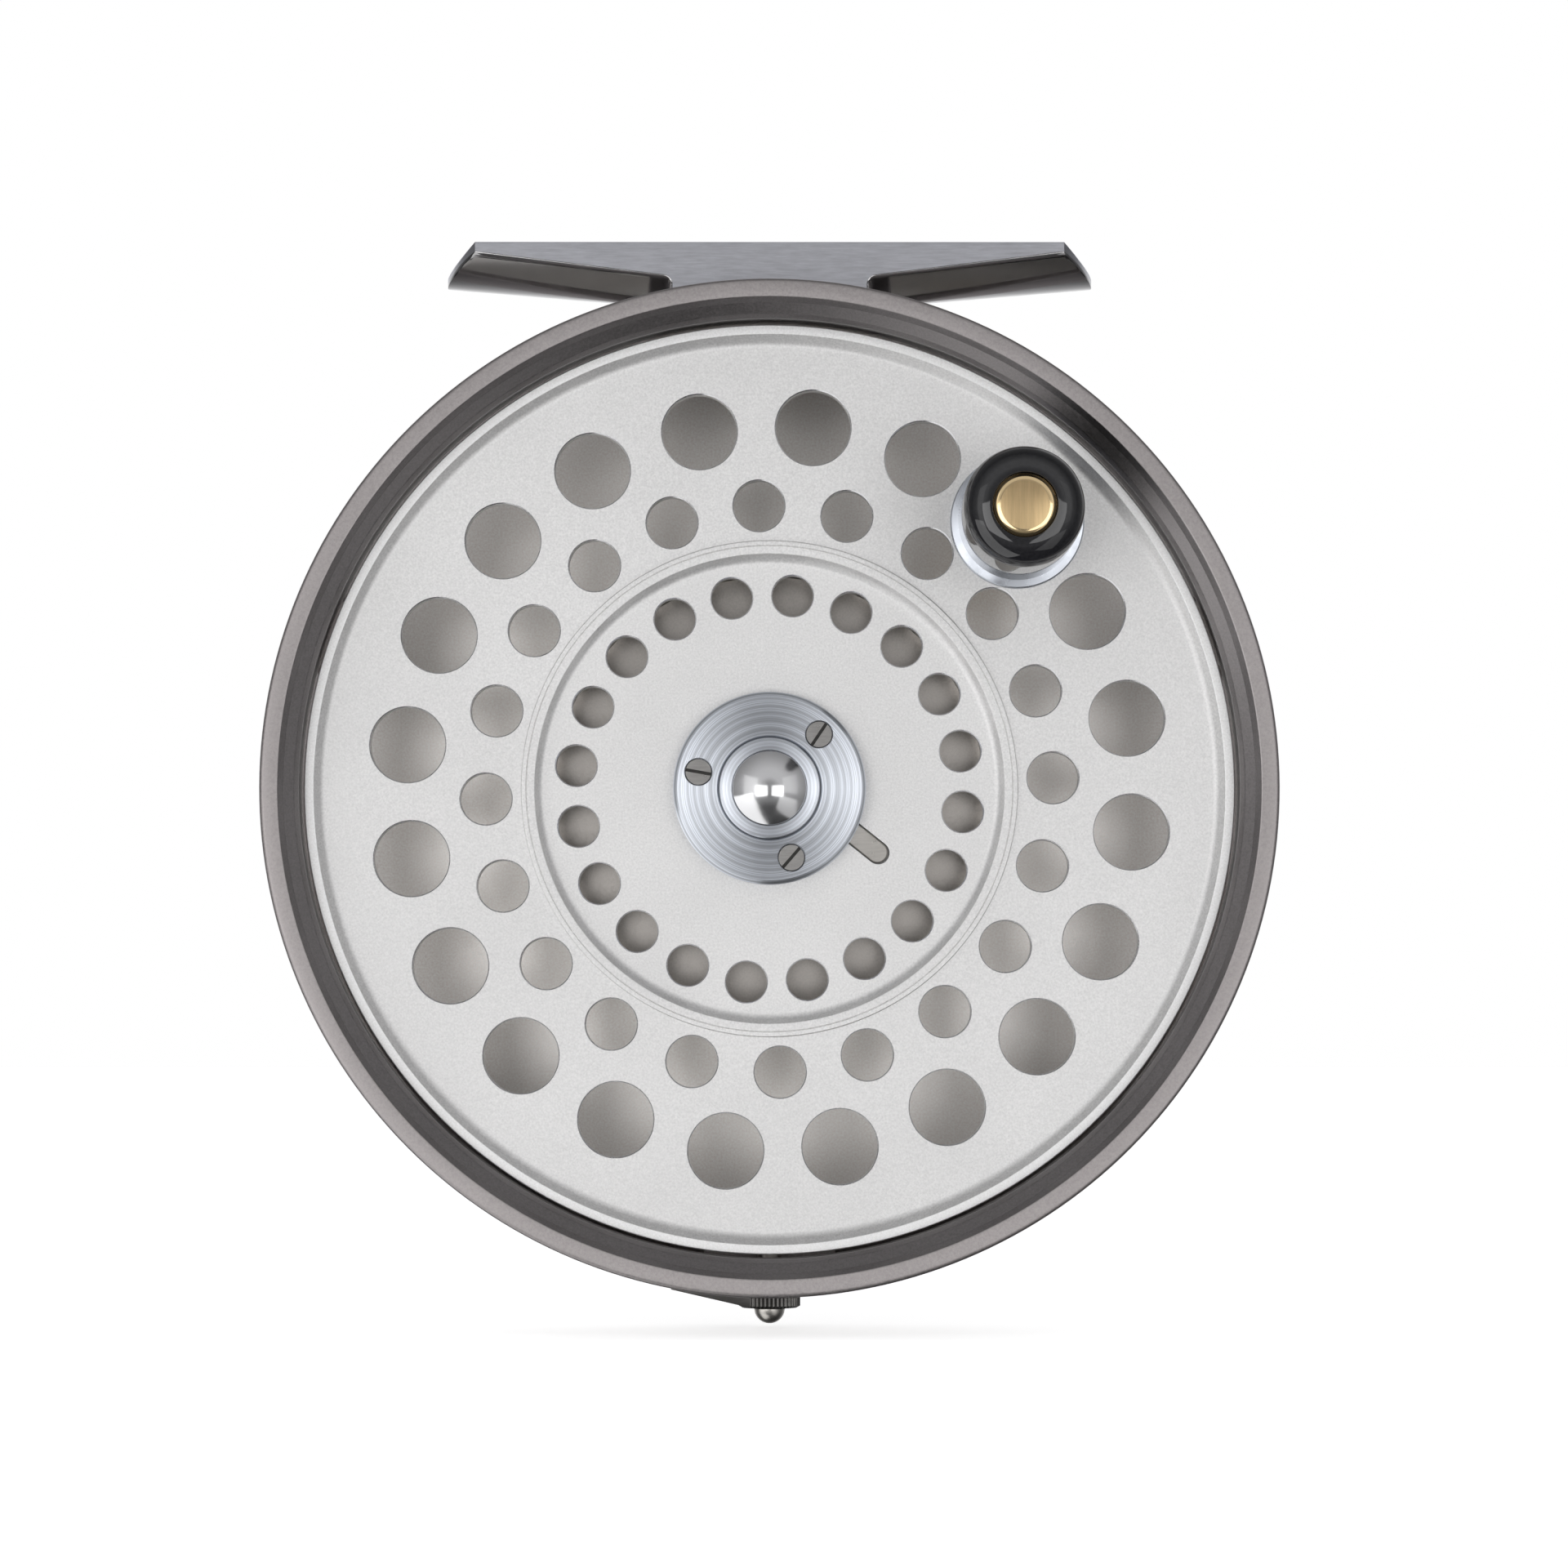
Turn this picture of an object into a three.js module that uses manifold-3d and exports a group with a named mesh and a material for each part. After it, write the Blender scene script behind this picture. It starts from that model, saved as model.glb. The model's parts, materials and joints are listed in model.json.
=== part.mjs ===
// Click-check trout fly reel, in millimetres.
// The spindle runs along Y, the handle faces -Y and the foot is at +Z. The origin is on the
// spindle's axis, at the flat back of the frame. Angles are counter-clockwise from +X, seen
// from the handle side.
import * as THREE from "three";
import { mergeVertices } from "three/addons/utils/BufferGeometryUtils.js";
import Module from "manifold-3d";

const wasm = await Module();
wasm.setup();

// ---------------------------------------------------------------- driving dimensions
const FRAME_R = 44.45; // 3 1/2 inch frame
const FRAME_WIDTH = 28;
const FRONT_BORE_R = 41.15;
const FRONT_RING_DEPTH = 6.2;
const REAR_RIM_R = 41.8; // inside of the rear rim
const REAR_RIM_DEPTH = 9.2;
const BACK_PLATE = 2.8;
const BOSS_R = 5.0; // carries the spindle and the regulator's ring
const BOSS_TOP = -4.7;
const PILLAR_ANGLES = [20, 160, 225, 315];
const PILLAR_HALF_ANGLE = 4.5;
const FOOT_PILLAR_HALF_ANGLE = 14.5;
const FOOT_PILLAR_INNER_R = 41.4;
const FOOT_SEAT_Z = 43.55; // flat milled on the foot's pillar

const FOOT_HALF_WIDTH = 7;
const FOOT_HALF_LENGTH = 28.85;
const FOOT_CORNER_X = 26.1; // where the rounded end meets the long edge
const FOOT_TOP_Z = 48.7;
const FOOT_EDGE = { z: 45.36, rise: 0.124 }; // lower edge at the saddle, and its slope outwards
const FOOT_MIDDLE = { z: 43.63, rise: 0.082 }; // lower middle, which is fuller
const FOOT_GROOVE_R = 10.5;
const SADDLE_HALF_LENGTH = 8.6;
const FOOT_SCREW_X = 5.5;

const SPOOL_R = 40.8;
const SPOOL_FACE = -23.6; // the front flange's flat face
const SPOOL_RIM_TOP = -24.4;
const SPOOL_DISH = -22.9; // sunk face inside the raised ring
const FRONT_FLANGE_BACK = -21.8;
const REAR_FLANGE_FRONT = -7.5;
const REAR_FLANGE_BACK = -6.2;
const REAR_FLANGE_R = 40.4;
const RIM_BEAD_BACK = -21.3;
const WEB_BACK = -21.1;
const HUB_SHOULDER = -19.8;
const ARBOR_R = 20.3;
const ARBOR_BORE_R = 19.1;
const HUB_TUBE_R = 7.0;
const ARBOR_DISC_Y = { front: -18.6, back: -18.0 }; // a plain disc that closes the arbor's front
const HUB_BORE_R = 4.5;
const HOLE_RINGS = [
  { ringR: 32.0, holeR: 3.3, phase: 11.12, sides: 12 },
  { ringR: 24.9, holeR: 2.25, phase: 2.15, sides: 10 },
  { ringR: 17.1, holeR: 1.8, phase: 11.18, sides: 8 },
];
const HOLES_PER_RING = 20;

const SPINDLE_R = 3.25;
const SPINDLE_GROOVE_R = 2.55;
const SPINDLE_EDGE = -24.6; // where the spindle's tip begins
const SPINDLE_TIP = -25.7;
const COLLAR_R = 6.2; // the spindle's own flange, against the boss
const COLLAR_FRONT = -5.1;
const BUSH_R = 4.44;
const RUNNING_CLEARANCE = 0.05;
const BUSH_FRONT = -24.55;
const HUB_COVER_R = 8.45;
const HUB_COVER_FRONT = -24.4;
const HUB_COVER_CHAMFER = 0.34;
const HUB_SCREWS = [
  { angle: 47.3, slot: 56 },
  { angle: 167.3, slot: -10 },
  { angle: 287.4, slot: 49 },
];
const HUB_SCREW_RING_R = 6.4;
const HUB_SCREW_FACE = -24.36;

const LATCH_ANGLE = -38.7;
const LATCH_TAIL_OFFSET = 1.55;
const LATCH_TAIL_HALF_WIDTH = 0.92;
const LATCH_TAIL_END = 11.81;
const LATCH_TRAVEL = 1.0;
const LATCH_FLOOR = -21.7;

const HANDLE_RING_R = 32.0;
const HANDLE_ANGLE = 47.12;
const HANDLE_LENGTH = 17;
const HANDLE_COLLAR_R = 5.9;
const HANDLE_COLLAR_HEIGHT = 1.0;
const KNOB_BASE_R = 5.23;
const KNOB_TOP_R = 4.98;
const KNOB_EDGE_R = 1.7;
const KNOB_RECESS = { r: 2.72, depth: 1.2 };
const HANDLE_PIN_R = 1.6;
const HANDLE_PIN_HEAD_R = 2.62;
const HANDLE_PIN_END = -20.75;
const HANDLE_NUT = { r: 2.9, back: -20.9 };

const GEAR_TEETH = 36;
const GEAR_R = 8.4;
const GEAR_ROOT_R = 7.2;
const GEAR_FRONT = -7.4;
const GEAR_BACK = -5.4;
const GEAR_SCREW_RING_R = 5.85;

const CHECK_ANGLE = 83; // the check's line of symmetry, through the spring's bend
const PAWL_RING_R = 12.3;
const PAWL_REACH = 4.6;
const PAWL_HALF_WIDTH = 2.0;
const PAWL_FRONT = -7.2;
const PAWL_BACK = -5.65;
const POST_R = 1.0;
const POST_SHOULDER_R = 1.8;
const POST_HEAD_R = 1.5;
const POST_FRONT = -7.9;
const SPRING_LEG = 15.0; // each leg's distance from the line of symmetry
const SPRING_RING_R = 17.5;
const SPRING_FRONT = -6.9;
const SPRING_BACK = -6.2;
const SPRING_SCREW_R = 16.9;
const SPRING_SCREW_SPREAD = 17;
const SPRING_EYE_R = 1.6;
const SPRING_BOSS_R = 1.7;

const REGULATOR_Y = -4.0;
const REGULATOR_ARM_FRONT = -4.6;
const REGULATOR_ARM_BACK = -3.4;
const REGULATOR_PEG = { x: 13.6, z: -9.0, r: 0.6 };
const REGULATOR_HOOP_R = 7.4;
const REGULATOR_HALF_WIDTH = 1.9;
const REGULATOR_SLOT_HALF_ANGLE = 8.2; // the slot in the rear rim that the stud moves in
const REGULATOR_STUD_R = 1.1;
const REGULATOR_STUD_TOP = 41.25;
const REGULATOR_NUT_R = 2.8;
const REGULATOR_NUT_Z = { high: 45.22, low: 46.32 }; // below the spindle's axis
const REGULATOR_HEAD_R = 1.4;
const REGULATOR_LOW_Z = -47.74;
const SLIDE_ANGLES = { ramp: 258.2, front: 274.6 }; // where the slide ends on the rim
const SLIDE_SEAT = { from: -1.6, to: 3.1, z: -44.92 }; // the thin part under the nut
const SLIDE_NUT_ROOM = 0.12; // the ramp's end is hollowed round the nut
const SLIDE_RAMP = { highX: -1.6, highZ: -46.28, lowX: -8.9, lowZ: -44.6 };
const SLIDE_HALF_WIDTH = 2.3;

const ROUND = 48; // sides of the large turned pieces
const SMALL_ROUND = 24;
const TINY_ROUND = 12;

// ---------------------------------------------------------------- finishes
const finish = (color, roughness, metalness) =>
  new THREE.MeshStandardMaterial({ color, roughness, metalness });
const BLASTED_SILVER = finish(0xc9c9cb, 0.42, 0.9);
const BLASTED_BRONZE = finish(0x8f898c, 0.45, 0.85);
const TURNED_ALUMINIUM = finish(0xaeb4ba, 0.28, 1.0);
const POLISHED_STEEL = finish(0xd2d4d6, 0.12, 1.0);
const NICKEL = finish(0xb9b4aa, 0.25, 1.0);
const DARK_NICKEL = finish(0x7c7872, 0.3, 1.0);
const BRASS = finish(0xc9a86a, 0.3, 1.0);
const BRONZE = finish(0xa87c4a, 0.35, 1.0);
const SPRING_STEEL = finish(0x9da0a4, 0.3, 1.0);
const BLACK_EBONITE = finish(0x0b0b0c, 0.12, 0.0);

// ---------------------------------------------------------------- solids
const rad = THREE.MathUtils.degToRad;
const polar = (r, degrees) => [r * Math.cos(rad(degrees)), r * Math.sin(rad(degrees))];

// A closed three.js geometry as a solid for joining and cutting, its faces pointing out.
function solid(geometry) {
  const bare = geometry.clone();
  bare.deleteAttribute("normal");
  bare.deleteAttribute("uv");
  const merged = mergeVertices(bare, 1e-4);
  const index = merged.index.array;
  const kept = [];
  for (let i = 0; i < index.length; i += 3) {
    const [a, b, c] = index.slice(i, i + 3);
    if (a !== b && b !== c && c !== a) kept.push(a, b, c);
  }
  const make = (triangles) =>
    new wasm.Manifold(
      new wasm.Mesh({
        numProp: 3,
        vertProperties: merged.attributes.position.array,
        triVerts: new Uint32Array(triangles),
      }),
    );
  const made = make(kept);
  return made.volume() > 0 ? made : make(kept.reverse());
}

const join = (...solids) => solids.reduce((all, next) => all.add(next));
const cut = (body, ...cutters) => cutters.reduce((left, tool) => left.subtract(tool), body);

// A solid turned about Y from a closed profile of [radius, y] points.
function turned(profile, sides = SMALL_ROUND) {
  const points = profile.map(([r, y]) => new THREE.Vector2(r, y));
  const [first, last] = [points[0], points[points.length - 1]];
  if (first.x > 0 || last.x > 0) points.push(first.clone());
  return solid(new THREE.LatheGeometry(points, sides));
}

// A disc or rod along Y between two heights, centred on [x, z].
function rod(r, y0, y1, [x, z] = [0, 0], sides = SMALL_ROUND) {
  const geometry = new THREE.CylinderGeometry(r, r, y1 - y0, sides);
  return solid(geometry.translate(x, (y0 + y1) / 2, z));
}

// A ring along Y.
const ring = (inner, outer, y0, y1, sides) =>
  turned([[inner, y0], [outer, y0], [outer, y1], [inner, y1]], sides);

// An outline drawn in x and z, as seen from the handle side, made solid between two heights.
function plate(outline, y0, y1, curveSegments = 24) {
  const shape = outline instanceof THREE.Shape ? outline : new THREE.Shape(outline);
  const depth = y1 - y0;
  const geometry = new THREE.ExtrudeGeometry(shape, { depth, bevelEnabled: false, curveSegments });
  return solid(geometry.rotateX(Math.PI / 2).translate(0, y1, 0));
}

const outline = (points) => points.map(([x, z]) => new THREE.Vector2(x, z));

// A box given by its lowest and highest corners.
function box(low, high) {
  const size = high.map((h, i) => h - low[i]);
  const centre = high.map((h, i) => (h + low[i]) / 2);
  return solid(new THREE.BoxGeometry(...size).translate(...centre));
}

// Part of a ring, from one angle to another.
function sector(inner, outer, from, to, y0, y1, curveSegments = 8) {
  const shape = new THREE.Shape();
  shape.absarc(0, 0, outer, rad(from), rad(to), false);
  shape.absarc(0, 0, inner, rad(to), rad(from), true);
  return plate(shape, y0, y1, curveSegments);
}

// A counter-clockwise turn about Y, seen from the handle side. Manifold turns right-handedly.
const spin = (body, degrees) => body.rotate([0, -degrees, 0]);

const group = new THREE.Group();

function addNode(name, body, material, parent = group) {
  const { numProp, vertProperties, triVerts } = body.getMesh();
  const geometry = new THREE.BufferGeometry();
  geometry.setAttribute("position", new THREE.BufferAttribute(vertProperties, numProp));
  geometry.setIndex(new THREE.BufferAttribute(triVerts, 1));
  geometry.computeVertexNormals();
  const mesh = new THREE.Mesh(geometry, material);
  mesh.name = name;
  parent.add(mesh);
  return mesh;
}

// ---------------------------------------------------------------- screws
// A slotted countersunk screw facing -Y, its head's face at y = 0.
function screwBody({ headR, shankR, length, grow = 0 }) {
  const [head, shank] = [headR + grow, shankR + grow];
  const edge = 0.2;
  const profile = [
    [0, -grow],
    [head, -grow],
    [head, edge],
    [shank, edge + headR - shankR],
    [shank, length + grow],
    [0, length + grow],
  ];
  return turned(profile, TINY_ROUND);
}

const screwSlot = ({ headR, slotWidth, slotDepth }, degrees) =>
  spin(box([-headR * 2, -1, -slotWidth / 2], [headR * 2, slotDepth, slotWidth / 2]), degrees);

const HUB_SCREW = { headR: 1.17, shankR: 0.55, length: 3.6, slotWidth: 0.3, slotDepth: 0.3 };
const GEAR_SCREW = { headR: 0.85, shankR: 0.45, length: 2.8, slotWidth: 0.24, slotDepth: 0.25 };
const FOOT_SCREW = { headR: 1.9, shankR: 1.0, length: 3.9, slotWidth: 0.45, slotDepth: 0.5 };
const SPRING_SCREW = { headR: 1.2, shankR: 0.6, headHeight: 0.7, length: 3.2 };
const SCREW_ROOM = 0.06;

const screw = (size, slot = 0) => cut(screwBody(size), screwSlot(size, slot));
const screwRoom = (size) => screwBody({ ...size, grow: SCREW_ROOM });

// ---------------------------------------------------------------- frame
const inCheck = (r, degrees) => polar(r, CHECK_ANGLE + degrees);
const pawlPosts = [inCheck(PAWL_RING_R, 90), inCheck(PAWL_RING_R, -90)];
const springScrews = [
  inCheck(SPRING_SCREW_R, SPRING_SCREW_SPREAD),
  inCheck(SPRING_SCREW_R, -SPRING_SCREW_SPREAD),
];

function frontRing() {
  const front = -FRAME_WIDTH;
  return turned(
    [
      [FRAME_R, front + 0.4],
      [FRAME_R - 0.4, front],
      [42.9, front],
      [42.4, front + 0.2],
      [41.7, front + 0.75],
      [41.3, front + 1.25],
      [FRONT_BORE_R, front + 1.7],
      [FRONT_BORE_R, front + FRONT_RING_DEPTH],
      [FRAME_R, front + FRONT_RING_DEPTH],
    ],
    ROUND,
  );
}

function rearDrum() {
  return turned(
    [
      [SPINDLE_R, 0],
      [SPINDLE_R, BOSS_TOP],
      [BOSS_R, BOSS_TOP],
      [BOSS_R, -BACK_PLATE],
      [REAR_RIM_R - 0.6, -BACK_PLATE],
      [REAR_RIM_R, -BACK_PLATE - 0.6],
      [REAR_RIM_R, -REAR_RIM_DEPTH],
      [FRAME_R, -REAR_RIM_DEPTH],
      [FRAME_R, -0.7],
      [FRAME_R - 0.7, 0],
    ],
    ROUND,
  );
}

function pillar(angle, halfAngle, innerR) {
  const [front, back] = [-FRAME_WIDTH + FRONT_RING_DEPTH - 0.5, -REAR_RIM_DEPTH + 0.5];
  return sector(innerR, FRAME_R - 0.01, angle - halfAngle, angle + halfAngle, front, back);
}

// The rear plate's two rings of ventilation holes, outside the check.
function backPlateHoles() {
  const holes = [];
  for (const { ringR, holeR, phase, sides } of HOLE_RINGS.slice(0, 2))
    for (let i = 0; i < HOLES_PER_RING; i++) {
      const place = polar(ringR, phase + (360 / HOLES_PER_RING) * i);
      holes.push(rod(holeR, -BACK_PLATE - 0.1, 0.1, place, sides));
    }
  return holes;
}

function frameCage() {
  let cage = join(
    frontRing(),
    rearDrum(),
    pillar(90, FOOT_PILLAR_HALF_ANGLE, FOOT_PILLAR_INNER_R),
  );
  for (const angle of PILLAR_ANGLES) cage = cage.add(pillar(angle, PILLAR_HALF_ANGLE, REAR_RIM_R));
  for (const place of springScrews)
    cage = cage.add(rod(SPRING_BOSS_R, SPRING_BACK + 0.02, -BACK_PLATE + 0.2, place, TINY_ROUND));
  const seat = box(
    [-SADDLE_HALF_LENGTH - 0.05, FOOT_Y - FOOT_HALF_WIDTH - 0.05, FOOT_SEAT_Z],
    [SADDLE_HALF_LENGTH + 0.05, FOOT_Y + FOOT_HALF_WIDTH + 0.05, FRAME_R + 1],
  );
  const slot = sector(
    REAR_RIM_R - 1,
    FRAME_R + 1,
    270 - REGULATOR_SLOT_HALF_ANGLE,
    270 + REGULATOR_SLOT_HALF_ANGLE,
    REGULATOR_Y - REGULATOR_STUD_R - 0.1,
    -BACK_PLATE,
  );
  const screwHoles = springScrews.map((p) => rod(0.66, -8, -2.9, p, TINY_ROUND));
  const postHoles = pawlPosts.map((p) => rod(POST_R + 0.05, -BACK_PLATE - 1, 1, p, TINY_ROUND));
  const footScrewHoles = [-1, 1].map((side) => footScrewAt(side, FOOT_SCREW_ROOM_SOLID));
  return cut(
    cage,
    seat,
    slot,
    ...backPlateHoles(),
    ...screwHoles,
    ...postHoles,
    ...footScrewHoles,
  );
}

// ---------------------------------------------------------------- foot
const FOOT_Y = -FRAME_WIDTH / 2;
const GROOVE_DEPTH =
  FOOT_GROOVE_R - Math.sqrt(FOOT_GROOVE_R ** 2 - FOOT_HALF_WIDTH ** 2);
const FOOT_GROOVE_Z = FOOT_TOP_Z - GROOVE_DEPTH;
const FOOT_SCREW_ROOM_SOLID = screwRoom(FOOT_SCREW);

// Lower surface: a long edge that rises outwards, and a fuller middle that rises less.
const SADDLE_SHOULDER = SADDLE_HALF_LENGTH + 0.2;
const beyondSaddle = (x) => Math.max(Math.abs(x) - SADDLE_SHOULDER, 0);
const footEdgeZ = (x) => FOOT_EDGE.z + FOOT_EDGE.rise * beyondSaddle(x);
const footMiddleZ = (x) => FOOT_MIDDLE.z + FOOT_MIDDLE.rise * beyondSaddle(x);

// One cross-section of the foot's plate: pairs of upper and lower points from edge to edge.
function footSection(x) {
  const steps = 12;
  const pairs = [];
  for (let i = 0; i <= steps; i++) {
    const t = (2 * i) / steps - 1;
    const y = t * FOOT_HALF_WIDTH;
    const hollow = FOOT_GROOVE_R - Math.sqrt(FOOT_GROOVE_R ** 2 - y ** 2);
    const top = FOOT_GROOVE_Z + hollow;
    const low = footMiddleZ(x) + (footEdgeZ(x) - footMiddleZ(x)) * t * t;
    pairs.push([
      [x, FOOT_Y + y, top],
      [x, FOOT_Y + y, low],
    ]);
  }
  return pairs;
}

// A closed skin over sections that each hold the same number of upper and lower pairs.
function loft(sections) {
  const positions = sections.flat(3);
  const columns = sections[0].length;
  const at = (s, i, side) => (s * columns + i) * 2 + side;
  const index = [];
  const quad = (a, b, c, d) => index.push(a, b, c, a, c, d);
  for (let s = 0; s < sections.length - 1; s++) {
    for (let i = 0; i < columns - 1; i++) {
      quad(at(s, i, 0), at(s + 1, i, 0), at(s + 1, i + 1, 0), at(s, i + 1, 0));
      quad(at(s, i, 1), at(s, i + 1, 1), at(s + 1, i + 1, 1), at(s + 1, i, 1));
    }
    const last = columns - 1;
    quad(at(s, 0, 0), at(s, 0, 1), at(s + 1, 0, 1), at(s + 1, 0, 0));
    quad(at(s, last, 0), at(s + 1, last, 0), at(s + 1, last, 1), at(s, last, 1));
  }
  const end = sections.length - 1;
  for (let i = 0; i < columns - 1; i++) {
    quad(at(0, i, 0), at(0, i + 1, 0), at(0, i + 1, 1), at(0, i, 1));
    quad(at(end, i, 0), at(end, i, 1), at(end, i + 1, 1), at(end, i + 1, 0));
  }
  const geometry = new THREE.BufferGeometry();
  geometry.setAttribute("position", new THREE.Float32BufferAttribute(positions, 3));
  geometry.setIndex(index);
  return solid(geometry);
}

// The foot's plan: straight long edges and an arc at each end.
function footPlan() {
  const rise = FOOT_HALF_LENGTH - FOOT_CORNER_X;
  const endR = (FOOT_HALF_WIDTH ** 2 + rise ** 2) / (2 * rise);
  const sweep = Math.asin(FOOT_HALF_WIDTH / endR);
  const shape = new THREE.Shape();
  shape.absarc(FOOT_HALF_LENGTH - endR, FOOT_Y, endR, -sweep, sweep, false);
  shape.absarc(endR - FOOT_HALF_LENGTH, FOOT_Y, endR, Math.PI - sweep, Math.PI + sweep, false);
  const geometry = new THREE.ExtrudeGeometry(shape, {
    depth: 10,
    bevelEnabled: false,
    curveSegments: 12,
  });
  return solid(geometry.translate(0, 0, 42));
}

// The saddle under the plate, with a small fillet where it meets the frame.
function footSaddle() {
  const half = SADDLE_HALF_LENGTH;
  const top = footEdgeZ(half) + 0.6;
  const side = (sign) => [
    [sign * half, FOOT_SEAT_Z],
    [sign * half, footEdgeZ(half) - 0.5],
    [sign * (half + 0.25), footEdgeZ(half) - 0.15],
    [sign * (half + 0.9), footEdgeZ(half + 0.9)],
    [sign * (half + 0.9), top],
  ];
  const points = outline([...side(1), ...side(-1).reverse()]);
  return plate(points, FOOT_Y - FOOT_HALF_WIDTH, FOOT_Y + FOOT_HALF_WIDTH);
}

// A screw that stands upright in the groove, its head up.
const footScrewAt = (side, body) =>
  body.rotate([-90, 0, 0]).translate([side * FOOT_SCREW_X, FOOT_Y, FOOT_GROOVE_Z + 0.15]);

function reelFoot() {
  const stations = [-29, -SADDLE_SHOULDER, SADDLE_SHOULDER, 29];
  const blank = loft(stations.map(footSection)).intersect(footPlan());
  const saddle = cut(
    footSaddle(),
    solid(
      new THREE.CylinderGeometry(FOOT_GROOVE_R, FOOT_GROOVE_R, 40, 48)
        .rotateZ(Math.PI / 2)
        .translate(0, FOOT_Y, FOOT_GROOVE_Z + FOOT_GROOVE_R),
    ),
  );
  const screws = [-1, 1].map((side) => footScrewAt(side, FOOT_SCREW_ROOM_SOLID));
  return cut(join(blank, saddle), ...screws);
}

// ---------------------------------------------------------------- spindle and check
function spindle() {
  const grooveBack = LATCH_FLOOR;
  const grooveFront = SPOOL_DISH - 0.05;
  return turned([
    [0, 0],
    [SPINDLE_R - 0.05, 0],
    [SPINDLE_R - 0.05, BOSS_TOP - 0.02],
    [COLLAR_R, BOSS_TOP - 0.02],
    [COLLAR_R, COLLAR_FRONT],
    [SPINDLE_R, COLLAR_FRONT],
    [SPINDLE_R, grooveBack],
    [SPINDLE_GROOVE_R, grooveBack],
    [SPINDLE_GROOVE_R, grooveFront],
    [SPINDLE_R, grooveFront],
    [SPINDLE_R, SPINDLE_EDGE],
    [3.0, SPINDLE_EDGE - 0.35],
    [2.0, SPINDLE_EDGE - 0.75],
    [1.0, SPINDLE_TIP + 0.1],
    [0, SPINDLE_TIP],
  ]);
}

// A pawl's post: riveted through the back plate, with a shoulder under the pawl and a head.
function pawlPost(place) {
  const post = turned(
    [
      [0, 0],
      [POST_R, 0],
      [POST_R, -BACK_PLATE - 0.02],
      [POST_SHOULDER_R, -BACK_PLATE - 0.02],
      [POST_SHOULDER_R, PAWL_BACK + 0.15],
      [POST_R, PAWL_BACK + 0.15],
      [POST_R, PAWL_FRONT - 0.15],
      [POST_HEAD_R, PAWL_FRONT - 0.15],
      [POST_HEAD_R, POST_FRONT],
      [0, POST_FRONT],
    ],
    TINY_ROUND,
  );
  const slot = box([-2, POST_FRONT - 0.3, -0.15], [2, POST_FRONT + 0.25, 0.15]);
  return cut(post, slot).translate([place[0], 0, place[1]]);
}

// A click pawl at the origin, its tip along +X and its flat back towards the spring's leg.
function pawl() {
  const nose = [
    [PAWL_REACH, -0.05],
    [PAWL_REACH, 0.05],
    [PAWL_REACH - 0.7, 0.3],
    [1.6, 1.5],
    [0.4, PAWL_HALF_WIDTH],
    [-2.05, PAWL_HALF_WIDTH],
    [-2.05, -PAWL_HALF_WIDTH],
    [0.4, -PAWL_HALF_WIDTH],
    [1.6, -1.5],
    [PAWL_REACH - 0.7, -0.3],
  ];
  const bore = rod(POST_R + RUNNING_CLEARANCE, -8, -5, [0, 0], TINY_ROUND);
  return cut(plate(outline(nose), PAWL_FRONT, PAWL_BACK), bore);
}

const pawlAt = ([x, z], degrees) => spin(pawl(), degrees).translate([x, 0, z]);

// The U-shaped strip spring, drawn with its line of symmetry along +Z and then turned.
function checkSpring() {
  const top = Math.sqrt(SPRING_RING_R ** 2 - SPRING_LEG ** 2);
  const halfWidth = 0.45;
  const spread = Math.acos(top / SPRING_RING_R) * (180 / Math.PI);
  const bend = sector(
    SPRING_RING_R - halfWidth,
    SPRING_RING_R + halfWidth,
    90 - spread - 1,
    90 + spread + 1,
    SPRING_FRONT,
    SPRING_BACK,
    24,
  );
  const legs = [-1, 1].map((side) =>
    box(
      [side * SPRING_LEG - halfWidth, SPRING_FRONT, -10],
      [side * SPRING_LEG + halfWidth, SPRING_BACK, top + 0.1],
    ),
  );
  const eyes = [-1, 1].map((side) =>
    rod(SPRING_EYE_R, SPRING_FRONT, SPRING_BACK, eyePlace(side), TINY_ROUND),
  );
  const holes = [-1, 1].map((side) => rod(0.7, -8, -5, eyePlace(side), TINY_ROUND));
  return spin(cut(join(bend, ...legs, ...eyes), ...holes), CHECK_ANGLE - 90);
}

const eyePlace = (side) => polar(SPRING_SCREW_R, 90 + side * SPRING_SCREW_SPREAD);

// A cheese-head screw on the spring's eye.
function springScrew([x, z]) {
  const { headR, shankR, headHeight, length } = SPRING_SCREW;
  const top = SPRING_FRONT - 0.02 - headHeight;
  const body = turned(
    [
      [0, top],
      [headR, top],
      [headR, top + headHeight],
      [shankR, top + headHeight],
      [shankR, top + headHeight + length],
      [0, top + headHeight + length],
    ],
    TINY_ROUND,
  );
  return cut(body, box([-2, top - 1, -0.15], [2, top + 0.35, 0.15])).translate([x, 0, z]);
}

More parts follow.
